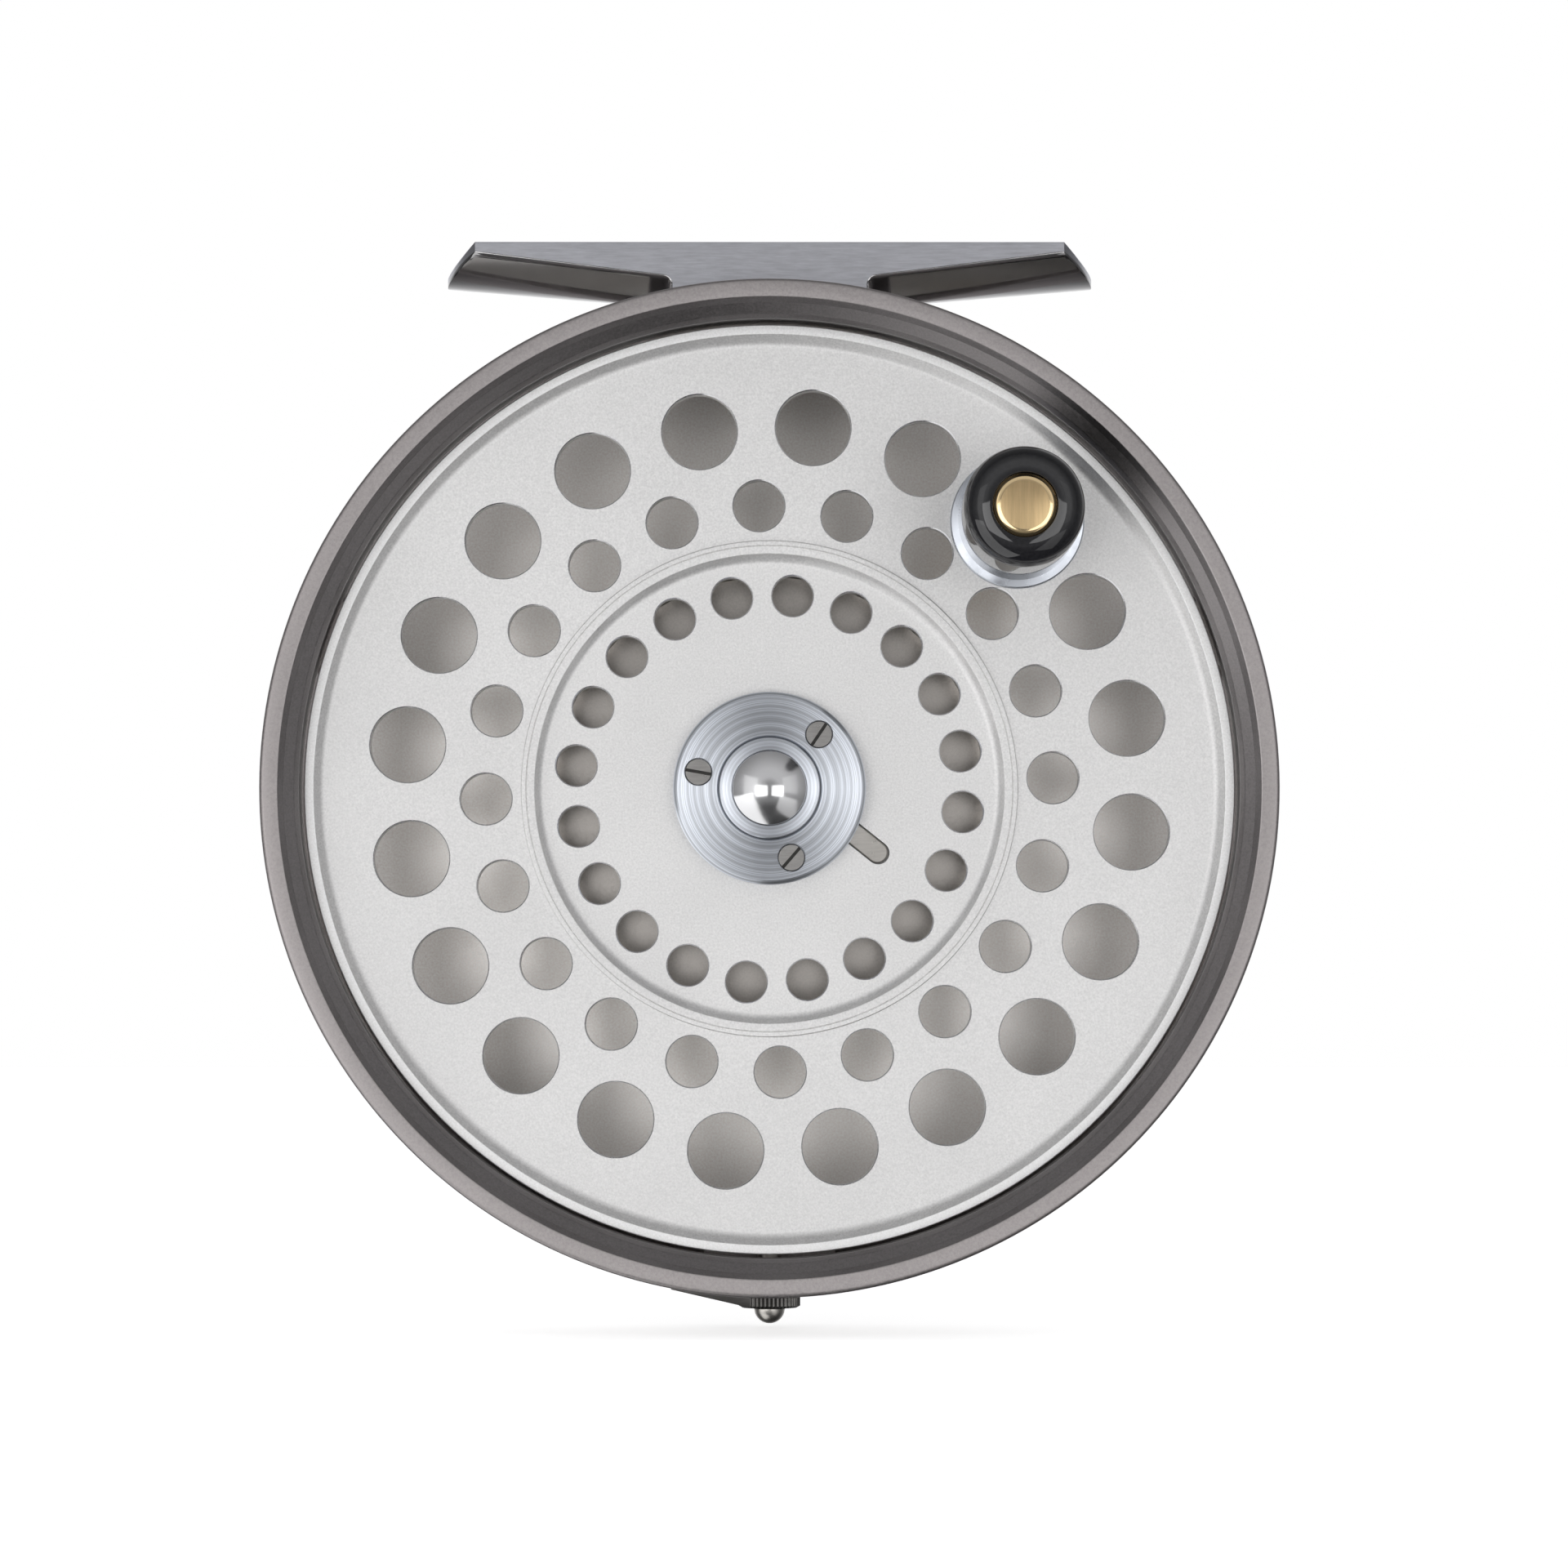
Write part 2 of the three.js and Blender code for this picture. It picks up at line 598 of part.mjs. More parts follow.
// ---------------------------------------------------------------- regulator
// Its ring turns on the frame's boss. A long arm reaches the rim, and two short ones carry the
// pegs that load the spring's legs.
function regulatorArm() {
  const [front, back] = [REGULATOR_ARM_FRONT, REGULATOR_ARM_BACK];
  const { x: pegX, z: pegZ, r: pegR } = REGULATOR_PEG;
  const reach = Math.hypot(pegX, pegZ);
  const lean = Math.atan2(-pegZ, pegX) * (180 / Math.PI);
  const pegBar = (side) => {
    const bar = box([6, front, -1.1], [reach, back, 1.1]);
    const eye = rod(1.1, front, back, [reach, 0], TINY_ROUND);
    const peg = rod(pegR, SPRING_FRONT, front + 0.1, [reach, 0], TINY_ROUND);
    const degrees = side > 0 ? -lean : 180 + lean;
    return spin(join(bar, eye, peg), degrees + CHECK_ANGLE - 90);
  };
  const half = REGULATOR_HALF_WIDTH;
  const longBar = box([-half, front, 0.2 - REGULATOR_STUD_TOP], [half, back, -6]);
  const endBlock = box(
    [-half, REGULATOR_Y - 1.1, 0.05 - REGULATOR_STUD_TOP],
    [half, back, 1.85 - REGULATOR_STUD_TOP],
  );
  const hoop = ring(BOSS_R + 0.1, REGULATOR_HOOP_R, front, back, SMALL_ROUND);
  return join(hoop, longBar, endBlock, pegBar(1), pegBar(-1));
}

// The stud passes through the rim's slot and ends in a round head over the nut. Its axis
// points down.
function regulatorStud() {
  const headZ = -REGULATOR_LOW_Z - REGULATOR_HEAD_R;
  const profile = [
    [0, REGULATOR_STUD_TOP],
    [REGULATOR_STUD_R, REGULATOR_STUD_TOP],
    [REGULATOR_STUD_R, headZ],
  ];
  const steps = 5;
  for (let i = 0; i <= steps; i++) {
    const a = (Math.PI / 2) * (i / steps);
    const r = i === steps ? 0 : REGULATOR_HEAD_R * Math.cos(a);
    profile.push([r, headZ + REGULATOR_HEAD_R * Math.sin(a)]);
  }
  return turned(profile, 20).rotate([-90, 0, 0]).translate([0, REGULATOR_Y, 0]);
}

// A slide that rides on the rim: thin under the nut, with a ramp beside it.
function regulatorSlide() {
  const innerR = FRAME_R + 0.15;
  const { ramp, front } = SLIDE_ANGLES;
  const { from, to, z } = SLIDE_SEAT;
  const { highX, highZ, lowX, lowZ } = SLIDE_RAMP;
  const shape = new THREE.Shape();
  shape.moveTo(...polar(innerR, front));
  shape.lineTo(...polar(innerR + 0.4, front - 0.2));
  shape.lineTo(to, z);
  shape.lineTo(from, z);
  shape.lineTo(highX, highZ);
  shape.lineTo(lowX, lowZ);
  shape.lineTo(...polar(innerR, ramp));
  shape.absarc(0, 0, innerR, rad(ramp), rad(front), false);
  const [y0, y1] = [REGULATOR_Y - SLIDE_HALF_WIDTH, REGULATOR_Y + SLIDE_HALF_WIDTH];
  const body = plate(shape, y0, y1, 12);
  const bore = new THREE.CylinderGeometry(1.2, 1.2, 4, 20).rotateX(Math.PI / 2);
  const roomR = REGULATOR_NUT_R + SLIDE_NUT_ROOM;
  const nutRoom = new THREE.CylinderGeometry(roomR, roomR, 4, SMALL_ROUND).rotateX(Math.PI / 2);
  return cut(
    body,
    solid(bore.translate(0, REGULATOR_Y, -45)),
    solid(nutRoom.translate(0, REGULATOR_Y, z - 2)),
  );
}

// A knurled nut on the stud.
function regulatorNut() {
  const knurls = 36;
  const points = [];
  for (let i = 0; i < knurls * 2; i++)
    points.push(polar(i % 2 ? REGULATOR_NUT_R : REGULATOR_NUT_R - 0.2, (180 / knurls) * i));
  const blank = plate(outline(points), REGULATOR_NUT_Z.high, REGULATOR_NUT_Z.low);
  return cut(blank, rod(1.25, 45, 47, [0, 0], 20))
    .rotate([-90, 0, 0])
    .translate([0, REGULATOR_Y, 0]);
}

// ---------------------------------------------------------------- spool
const handlePlace = polar(HANDLE_RING_R, HANDLE_ANGLE);

function spoolBlank() {
  return turned(
    [
      [HUB_BORE_R, SPOOL_DISH],
      [19.6, SPOOL_DISH],
      [20.35, SPOOL_DISH - 0.45],
      [20.8, SPOOL_FACE - 0.3],
      [21.7, SPOOL_FACE - 0.3],
      [21.8, SPOOL_FACE],
      [38.5, SPOOL_FACE],
      [39.25, SPOOL_FACE - 0.35],
      [40.0, SPOOL_RIM_TOP],
      [SPOOL_R, SPOOL_RIM_TOP],
      [SPOOL_R, RIM_BEAD_BACK],
      [39.8, RIM_BEAD_BACK],
      [39.3, FRONT_FLANGE_BACK],
      [ARBOR_R + 0.6, FRONT_FLANGE_BACK],
      [ARBOR_R, FRONT_FLANGE_BACK + 0.6],
      [ARBOR_R, REAR_FLANGE_FRONT - 0.6],
      [ARBOR_R + 0.6, REAR_FLANGE_FRONT],
      [REAR_FLANGE_R, REAR_FLANGE_FRONT],
      [REAR_FLANGE_R, REAR_FLANGE_BACK],
      [ARBOR_BORE_R, REAR_FLANGE_BACK],
      [ARBOR_BORE_R, WEB_BACK],
      [12.2, WEB_BACK],
      [10.6, HUB_SHOULDER],
      [HUB_TUBE_R, HUB_SHOULDER],
      [HUB_TUBE_R, GEAR_FRONT - 0.05],
      [HUB_BORE_R, GEAR_FRONT - 0.05],
    ],
    ROUND,
  );
}

// Three rings of ventilation holes. The handle stands where one large hole would be.
function spoolHoles() {
  const holes = [];
  HOLE_RINGS.forEach(({ ringR, holeR, phase, sides }, row) => {
    for (let i = 0; i < HOLES_PER_RING; i++) {
      const angle = phase + (360 / HOLES_PER_RING) * i;
      const underHandle = row === 0 && Math.abs(angle - HANDLE_ANGLE) < 1;
      if (!underHandle) holes.push(rod(holeR, -26, -20, polar(ringR, angle), sides));
    }
  });
  return holes;
}

// The latch's pocket, drawn with the latch's travel along X and then turned.
function latchPocket() {
  const [y0, y1] = [SPOOL_DISH - 1, LATCH_FLOOR];
  const side = LATCH_TAIL_HALF_WIDTH + 0.08;
  const tailEnd = LATCH_TAIL_END - LATCH_TAIL_HALF_WIDTH + 0.1;
  const room = join(
    rod(5.02, y0, y1, [0.52, 0]),
    rod(5.02, y0, y1, [0.45 - LATCH_TRAVEL, 0]),
    box([0, y0, LATCH_TAIL_OFFSET - side], [tailEnd, y1, LATCH_TAIL_OFFSET + side]),
    rod(side, y0, y1, [tailEnd, LATCH_TAIL_OFFSET], TINY_ROUND),
    box([-7.5, y0, -0.75], [0, y1, 0.75]),
  );
  return spin(room, LATCH_ANGLE);
}

const hubScrewPlaces = HUB_SCREWS.map(({ angle }) => polar(HUB_SCREW_RING_R, angle));
const gearScrewPlaces = [30, 150, 270].map((angle) => polar(GEAR_SCREW_RING_R, angle));

function spool() {
  const hubScrewHoles = hubScrewPlaces.map((p) => rod(0.62, -24, -20.5, p, TINY_ROUND));
  const gearScrewHoles = gearScrewPlaces.map((p) => rod(0.52, -9.2, -7, p, TINY_ROUND));
  return cut(
    spoolBlank(),
    ...spoolHoles(),
    latchPocket(),
    rod(HANDLE_PIN_R + 0.05, -25, -20, handlePlace),
    ...hubScrewHoles,
    ...gearScrewHoles,
  );
}

// The thin disc inside the arbor, between its bore and the hub's tube.
function arborDisc() {
  const seat = 0.05;
  const { front, back } = ARBOR_DISC_Y;
  return ring(HUB_TUBE_R + seat, ARBOR_BORE_R - seat, front, back, ROUND);
}

function hubCover() {
  const back = SPOOL_DISH - 0.02;
  const disc = turned(
    [
      [HUB_BORE_R, back],
      [HUB_COVER_R, back],
      [HUB_COVER_R, HUB_COVER_FRONT + HUB_COVER_CHAMFER],
      [HUB_COVER_R - HUB_COVER_CHAMFER, HUB_COVER_FRONT],
      [HUB_BORE_R, HUB_COVER_FRONT],
    ],
    32,
  );
  const rooms = hubScrewPlaces.map(([x, z]) =>
    screwRoom(HUB_SCREW).translate([x, HUB_SCREW_FACE - 0.02, z]),
  );
  return cut(disc, ...rooms);
}

const bush = (y0, y1) => ring(SPINDLE_R + RUNNING_CLEARANCE, BUSH_R, y0, y1);

// The latch: a flat ring around the spindle's groove, with a tail to push.
function latchLever() {
  const [y0, y1] = [SPOOL_DISH + 0.04, LATCH_FLOOR - 0.12];
  const [low, high] = [
    LATCH_TAIL_OFFSET - LATCH_TAIL_HALF_WIDTH,
    LATCH_TAIL_OFFSET + LATCH_TAIL_HALF_WIDTH,
  ];
  const tailEnd = LATCH_TAIL_END - LATCH_TAIL_HALF_WIDTH;
  const body = join(
    rod(4.9, y0, y1, [0.5, 0]),
    box([3, y0, low], [tailEnd, y1, high]),
    rod(LATCH_TAIL_HALF_WIDTH, y0, y1, [tailEnd, LATCH_TAIL_OFFSET], TINY_ROUND),
  );
  return spin(cut(body, rod(3.5, -24, -21, [0.85, 0])), LATCH_ANGLE);
}

class Helix extends THREE.Curve {
  constructor(radius, length, turns) {
    super();
    Object.assign(this, { radius, length, turns });
  }
  getPoint(t, target = new THREE.Vector3()) {
    const a = 2 * Math.PI * this.turns * t;
    return target.set(this.length * t, this.radius * Math.cos(a), this.radius * Math.sin(a));
  }
}

// The coil that pushes the latch outwards, behind its ring.
function latchSpring() {
  const wireR = 0.1;
  const section = new THREE.Shape();
  section.absarc(0, 0, wireR, 0, 2 * Math.PI, false);
  const geometry = new THREE.ExtrudeGeometry(section, {
    extrudePath: new Helix(0.36, 2.5, 4),
    steps: 40,
    curveSegments: 2,
    bevelEnabled: false,
  });
  const middle = (SPOOL_DISH + LATCH_FLOOR) / 2;
  return spin(solid(geometry).translate([-7.25, middle, 0]), LATCH_ANGLE);
}

// ---------------------------------------------------------------- click gear
function clickGear() {
  const pitch = 360 / GEAR_TEETH;
  const points = [];
  for (let i = 0; i < GEAR_TEETH; i++) {
    const gap = CHECK_ANGLE + 90 + pitch * i;
    points.push(polar(GEAR_ROOT_R, gap - 0.1 * pitch), polar(GEAR_ROOT_R, gap + 0.1 * pitch));
    points.push(polar(GEAR_R, gap + 0.4 * pitch), polar(GEAR_R, gap + 0.6 * pitch));
  }
  const wheel = plate(outline(points), GEAR_FRONT, GEAR_BACK);
  const rooms = gearScrewPlaces.map((p) => gearScrewAt(screwRoom(GEAR_SCREW), p));
  return cut(wheel, rod(HUB_BORE_R, -9, -4), ...rooms);
}

// The gear's screws go in from behind.
const gearScrewAt = (body, [x, z]) =>
  body.rotate([180, 0, 0]).translate([x, GEAR_BACK - 0.02, z]);

// ---------------------------------------------------------------- handle
const HANDLE_TOP = SPOOL_FACE - HANDLE_LENGTH;
const COLLAR_TOP = SPOOL_FACE - HANDLE_COLLAR_HEIGHT;

const atHandle = (body) => body.translate([handlePlace[0], 0, handlePlace[1]]);

function handleCollar() {
  const [base, bore] = [SPOOL_FACE - 0.02, HANDLE_PIN_R + 0.05];
  const profile = [
    [bore, base],
    [HANDLE_COLLAR_R, base],
    [HANDLE_COLLAR_R, base - 0.5],
    [HANDLE_COLLAR_R - 0.4, COLLAR_TOP],
    [bore, COLLAR_TOP],
  ];
  return atHandle(turned(profile));
}

function handleKnob() {
  const bore = HANDLE_PIN_R + 0.08;
  const profile = [
    [bore, COLLAR_TOP - 0.1],
    [KNOB_BASE_R - 0.18, COLLAR_TOP - 0.1],
    [KNOB_BASE_R, COLLAR_TOP - 0.4],
  ];
  const steps = 5;
  for (let i = 0; i <= steps; i++) {
    const a = (Math.PI / 2) * (i / steps);
    const r = KNOB_TOP_R - KNOB_EDGE_R * (1 - Math.cos(a));
    profile.push([r, HANDLE_TOP + KNOB_EDGE_R * (1 - Math.sin(a))]);
  }
  const floor = HANDLE_TOP + KNOB_RECESS.depth;
  profile.push([KNOB_RECESS.r, HANDLE_TOP], [KNOB_RECESS.r, floor], [bore, floor]);
  return atHandle(turned(profile));
}

function handlePin() {
  const [front, seat] = [HANDLE_TOP + 0.2, HANDLE_TOP + KNOB_RECESS.depth - 0.1];
  const profile = [
    [0, HANDLE_PIN_END],
    [HANDLE_PIN_R, HANDLE_PIN_END],
    [HANDLE_PIN_R, seat],
    [HANDLE_PIN_HEAD_R, seat],
    [HANDLE_PIN_HEAD_R, front + 0.3],
    [HANDLE_PIN_HEAD_R - 0.32, front],
    [0, front],
  ];
  return atHandle(turned(profile));
}

const handleNut = () =>
  atHandle(ring(HANDLE_PIN_R + 0.05, HANDLE_NUT.r, FRONT_FLANGE_BACK + 0.02, HANDLE_NUT.back));

// ---------------------------------------------------------------- assembly
addNode("frame_cage", frameCage(), BLASTED_BRONZE);
addNode("reel_foot", reelFoot(), BLASTED_BRONZE);
addNode("foot_screw_left", footScrewAt(-1, screw(FOOT_SCREW)), NICKEL);
addNode("foot_screw_right", footScrewAt(1, screw(FOOT_SCREW)), NICKEL);
addNode("spindle", spindle(), POLISHED_STEEL);
addNode("pawl_post_left", pawlPost(pawlPosts[0]), POLISHED_STEEL);
addNode("pawl_post_right", pawlPost(pawlPosts[1]), POLISHED_STEEL);
addNode("check_pawl_left", pawlAt(pawlPosts[0], CHECK_ANGLE - 90), NICKEL);
addNode("check_pawl_right", pawlAt(pawlPosts[1], CHECK_ANGLE + 90), NICKEL);
addNode("check_spring", checkSpring(), SPRING_STEEL);
addNode("spring_screw_left", springScrew(springScrews[0]), POLISHED_STEEL);
addNode("spring_screw_right", springScrew(springScrews[1]), POLISHED_STEEL);

addNode("regulator_arm", regulatorArm(), NICKEL);
addNode("regulator_stud", regulatorStud(), POLISHED_STEEL);
addNode("regulator_slide", regulatorSlide(), DARK_NICKEL);
addNode("regulator_nut", regulatorNut(), DARK_NICKEL);

addNode("spool", spool(), BLASTED_SILVER);
addNode("arbor_disc", arborDisc(), BLASTED_SILVER);
addNode("hub_cover", hubCover(), TURNED_ALUMINIUM);
addNode("front_bush", bush(BUSH_FRONT, SPOOL_DISH - 0.05), TURNED_ALUMINIUM);
addNode("rear_bush", bush(LATCH_FLOOR + 0.1, GEAR_BACK - 0.05), BRONZE);
addNode("latch_lever", latchLever(), NICKEL);
addNode("latch_spring", latchSpring(), SPRING_STEEL);
HUB_SCREWS.forEach(({ slot }, i) => {
  const [x, z] = hubScrewPlaces[i];
  const body = screw(HUB_SCREW, slot).translate([x, HUB_SCREW_FACE, z]);
  addNode(`hub_screw_${i + 1}`, body, NICKEL);
});
addNode("click_gear", clickGear(), BRASS);
gearScrewPlaces.forEach((place, i) => {
  addNode(`gear_screw_${i + 1}`, gearScrewAt(screw(GEAR_SCREW), place), NICKEL);
});

addNode("handle_collar", handleCollar(), POLISHED_STEEL);
addNode("handle_pin", handlePin(), BRASS);
addNode("handle_nut", handleNut(), BRASS);
addNode("handle_knob", handleKnob(), BLACK_EBONITE);

export default group;
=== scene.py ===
import json
import math

import bmesh
import bpy
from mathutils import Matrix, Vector
from mathutils.geometry import delaunay_2d_cdt

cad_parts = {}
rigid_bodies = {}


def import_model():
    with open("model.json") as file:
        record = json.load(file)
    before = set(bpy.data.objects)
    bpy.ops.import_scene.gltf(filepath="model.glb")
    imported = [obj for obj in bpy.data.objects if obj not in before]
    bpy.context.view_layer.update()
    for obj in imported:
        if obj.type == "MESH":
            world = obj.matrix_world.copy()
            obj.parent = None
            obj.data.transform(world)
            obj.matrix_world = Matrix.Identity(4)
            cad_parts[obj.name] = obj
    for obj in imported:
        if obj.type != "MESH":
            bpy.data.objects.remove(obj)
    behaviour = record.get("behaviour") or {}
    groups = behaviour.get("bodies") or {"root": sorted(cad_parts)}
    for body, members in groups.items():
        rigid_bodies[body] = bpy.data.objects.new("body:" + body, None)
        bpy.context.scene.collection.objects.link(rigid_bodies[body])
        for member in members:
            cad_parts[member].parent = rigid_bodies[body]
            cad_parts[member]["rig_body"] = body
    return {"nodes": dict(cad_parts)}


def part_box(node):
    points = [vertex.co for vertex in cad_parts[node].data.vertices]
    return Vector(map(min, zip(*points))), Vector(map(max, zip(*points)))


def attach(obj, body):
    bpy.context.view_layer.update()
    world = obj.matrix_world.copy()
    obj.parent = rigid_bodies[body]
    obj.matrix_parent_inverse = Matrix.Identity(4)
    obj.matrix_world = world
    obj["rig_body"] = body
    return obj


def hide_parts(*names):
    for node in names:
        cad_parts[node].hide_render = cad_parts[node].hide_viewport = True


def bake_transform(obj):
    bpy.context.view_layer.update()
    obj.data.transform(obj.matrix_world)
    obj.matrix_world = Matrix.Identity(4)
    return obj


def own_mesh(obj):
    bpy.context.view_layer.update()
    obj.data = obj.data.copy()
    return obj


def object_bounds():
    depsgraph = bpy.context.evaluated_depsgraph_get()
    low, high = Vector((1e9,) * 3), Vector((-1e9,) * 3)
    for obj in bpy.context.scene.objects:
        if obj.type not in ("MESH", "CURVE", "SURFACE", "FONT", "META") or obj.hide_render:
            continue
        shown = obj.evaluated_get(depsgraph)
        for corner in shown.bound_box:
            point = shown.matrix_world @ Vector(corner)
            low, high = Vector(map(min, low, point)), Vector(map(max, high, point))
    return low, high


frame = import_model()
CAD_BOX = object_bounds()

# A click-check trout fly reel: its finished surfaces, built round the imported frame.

MM = 0.001

# ------------------------------------------------------------ places taken from the frame (mm)


def low(node):
    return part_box(node)[0] / MM


def high(node):
    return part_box(node)[1] / MM


def middle(node):
    return (low(node) + high(node)) / 2


FRAME_R = high("frame_cage").x
FRAME_FRONT = low("frame_cage").y
FOOT_FRONT = low("reel_foot").y
FOOT_BACK = high("reel_foot").y
FOOT_TOP = high("reel_foot").z
FOOT_END = high("reel_foot").x
FOOT_SEAT = low("reel_foot").z
SPOOL_R = high("spool").x
SPOOL_RIM = low("spool").y
SPOOL_BACK = high("spool").y
HUB_FRONT = low("hub_cover").y
HUB_R = high("hub_cover").x
HUB_BACK = high("hub_cover").y
HANDLE = middle("handle_pin").xz
KNOB_FRONT = low("handle_knob").y
KNOB_BACK = high("handle_knob").y
REGULATOR_Y = middle("regulator_nut").y

# ------------------------------------------------------------ sizes of the design (mm)
ROUND = 240
HOLE_COUNT = 20
HOLE_CHAMFER = 0.1
LARGE_HOLES = {"ring": 32.0, "r": 3.3, "phase": 11.12, "sides": 72}
MEDIUM_HOLES = {"ring": 24.9, "r": 2.25, "phase": 2.15, "sides": 56}
SMALL_HOLES = {"ring": 17.1, "r": 1.8, "phase": 11.18, "sides": 48}
HANDLE_ANGLE = math.degrees(math.atan2(HANDLE.y, HANDLE.x))

FLANGE_FACE = SPOOL_RIM + 0.8
FLANGE_BACK = FLANGE_FACE + 1.8
DISH = FLANGE_FACE + 0.7
WEB_BACK = DISH + 1.8
RING_TOP = FLANGE_FACE - 0.3
FACE_FROM = 22.3
FACE_TO = 38.2
FLANGE_TO = 39.0
DISH_TO = 19.2
ARBOR_R = 20.3
ARBOR_BORE = 19.1
REAR_FLANGE = SPOOL_BACK - 1.3
HUB_BORE = 4.5
POCKET_FLOOR = DISH + 1.2
HUB_TUBE_FROM = 12.4
PIN_HOLE_R = 1.65

BACK_PLATE = 2.8
REAR_RIM_INSIDE = 41.8
REAR_RIM_FRONT = -9.2
FRONT_RING_BACK = FRAME_FRONT + 6.2
SPINDLE_R = 3.25
BUSH_BORE = SPINDLE_R + 0.05
REGULATOR_SLOT_HALF = 8.2  # degrees to each side of straight down

LATCH_ANGLE = -38.7
TAIL_OFFSET = 1.55
TAIL_HALF = 0.92
TAIL_END = 11.81
LATCH_TRAVEL = 1.0
COIL_START = -7.25  # along the latch's slot

CHECK_ANGLE = 83  # the check's line of symmetry

HUB_SCREWS = [(47.3, 56), (167.3, -10), (287.4, 49)]  # each screw's place and its slot, degrees
HUB_SCREW_RING = 6.4
HUB_SCREW_HEAD = 1.17
HUB_SCREW_SHANK = 0.55
HUB_SCREW_SLOT = 0.28

FOOT_HALF_WIDTH = (FOOT_BACK - FOOT_FRONT) / 2
FOOT_CENTRE_Y = (FOOT_BACK + FOOT_FRONT) / 2
FOOT_CORNER_X = 26.1  # where the plate's ends begin to round
FOOT_GROOVE_R = 10.5
FOOT_FILLET = 0.8
SADDLE_HALF = 8.6

# ------------------------------------------------------------ outlines


def polar(r, degrees, about=(0, 0)):
    a = math.radians(degrees)
    return about[0] + r * math.cos(a), about[1] + r * math.sin(a)


def circle(r, sides, about=(0, 0)):
    return [polar(r, 360 * i / sides, about) for i in range(sides)]


def arc(r, start, end, steps, about=(0, 0)):
    return [polar(r, start + (end - start) * i / steps, about) for i in range(steps + 1)]


def turned_by(points, degrees):
    a = math.radians(degrees)
    c, s = math.cos(a), math.sin(a)
    return [(x * c - z * s, x * s + z * c) for x, z in points]


def rounded(points, closed=False, steps=4):
    """The same outline, with each corner that has a third number rounded to that radius."""
    out = []
    for i, point in enumerate(points):
        here = Vector(point[:2])
        radius = point[2] if len(point) > 2 else 0
        if not radius:
            out.append(tuple(here))
            continue
        before = Vector(points[i - 1][:2]) - here
        after = Vector(points[(i + 1) % len(points)][:2]) - here
        a, b = before.normalized(), after.normalized()
        half = a.angle(b) / 2
        reach = min(radius / math.tan(half), 0.49 * before.length, 0.49 * after.length)
        radius = reach * math.tan(half)
        centre = here + (a + b).normalized() * radius / math.sin(half)
        first, last = here + a * reach - centre, here + b * reach - centre
        start = math.atan2(first.y, first.x)
        sweep = (math.atan2(last.y, last.x) - start + math.pi) % (2 * math.pi) - math.pi
        for k in range(steps + 1):
            t = start + sweep * k / steps
            out.append((centre.x + radius * math.cos(t), centre.y + radius * math.sin(t)))
    return out


def inside(point, loop):
    x, z = point
    crossings = False
    for i, (x0, z0) in enumerate(loop):
        x1, z1 = loop[i - 1]
        if (z0 > z) != (z1 > z) and x < (x1 - x0) * (z - z0) / (z1 - z0) + x0:
            crossings = not crossings
    return crossings


# ------------------------------------------------------------ surfaces


class Shell:
    """A closed surface in millimetres, gathered face by face. A mark is a material's number."""

    def __init__(self):
        self.bm = bmesh.new()

    def face(self, points, mark=0):
        verts = [self.bm.verts.new(p) for p in points]
        self.bm.faces.new(verts).material_index = mark

    def bridge(self, rows, mark=0, closed=True):
        """Joins rows of points, each of the same length. A row of one point is a tip."""
        made = [[self.bm.verts.new(p) for p in row] for row in rows]
        for number, (a, b) in enumerate(zip(made, made[1:])):
            m = mark[number] if isinstance(mark, list) else mark
            count = max(len(a), len(b))
            for i in range(count if closed else count - 1):
                j = (i + 1) % count
                if len(a) == 1:
                    corners = [a[0], b[j], b[i]]
                elif len(b) == 1:
                    corners = [a[i], a[j], b[0]]
                else:
                    corners = [a[i], a[j], b[j], b[i]]
                self.bm.faces.new(corners).material_index = m

    def turn(self, profile, sides=ROUND, about=(0, 0), mark=0, closed=False):
        """A surface turned about Y from [radius, y] points."""
        profile = list(profile) + ([profile[0]] if closed else [])
        rows = []
        for r, y in profile:
            if r < 1e-6:
                rows.append([(about[0], y, about[1])])
            else:
                rows.append([(x, y, z) for x, z in circle(r, sides, about)])
        self.bridge(rows, mark)

    def wall(self, loop, heights, mark=0):
        self.bridge([[(x, y, z) for x, z in loop] for y in heights], mark)

    def patch(self, y, outer, holes, mark=0):
        """A flat face at a height, from an outline less its holes."""
        points, edges = [], []
        for loop in [outer, *holes]:
            base, count = len(points), len(loop)
            points += [Vector(p) for p in loop]
            edges += [(base + i, base + (i + 1) % count) for i in range(count)]
        places, _, triangles, *_ = delaunay_2d_cdt(points, edges, [], 0, 1e-7)
        bounds = []
        for hole in holes:
            centre = sum((Vector(p) for p in hole), Vector((0, 0))) / len(hole)
            bounds.append((hole, centre, max((Vector(p) - centre).length for p in hole)))
        verts = [self.bm.verts.new((p.x, y, p.y)) for p in places]
        for triangle in triangles:
            at = sum((places[i] for i in triangle), Vector((0, 0))) / 3
            near = (hole for hole, centre, r in bounds if (at - centre).length < r)
            if inside(at, outer) and not any(inside(at, hole) for hole in near):
                self.bm.faces.new([verts[i] for i in triangle]).material_index = mark

    def drill(self, centre, r, front, back, sides, mark=1, chamfer=HOLE_CHAMFER):
        """The wall of a round hole with a small chamfer at each end."""
        profile = [
            (r + chamfer, front),
            (r, front + chamfer),
            (r, back - chamfer),
            (r + chamfer, back),
        ]
        rows = [[(x, y, z) for x, z in circle(q, sides, centre)] for q, y in profile]
        self.bridge(rows, [mark, 0, mark])


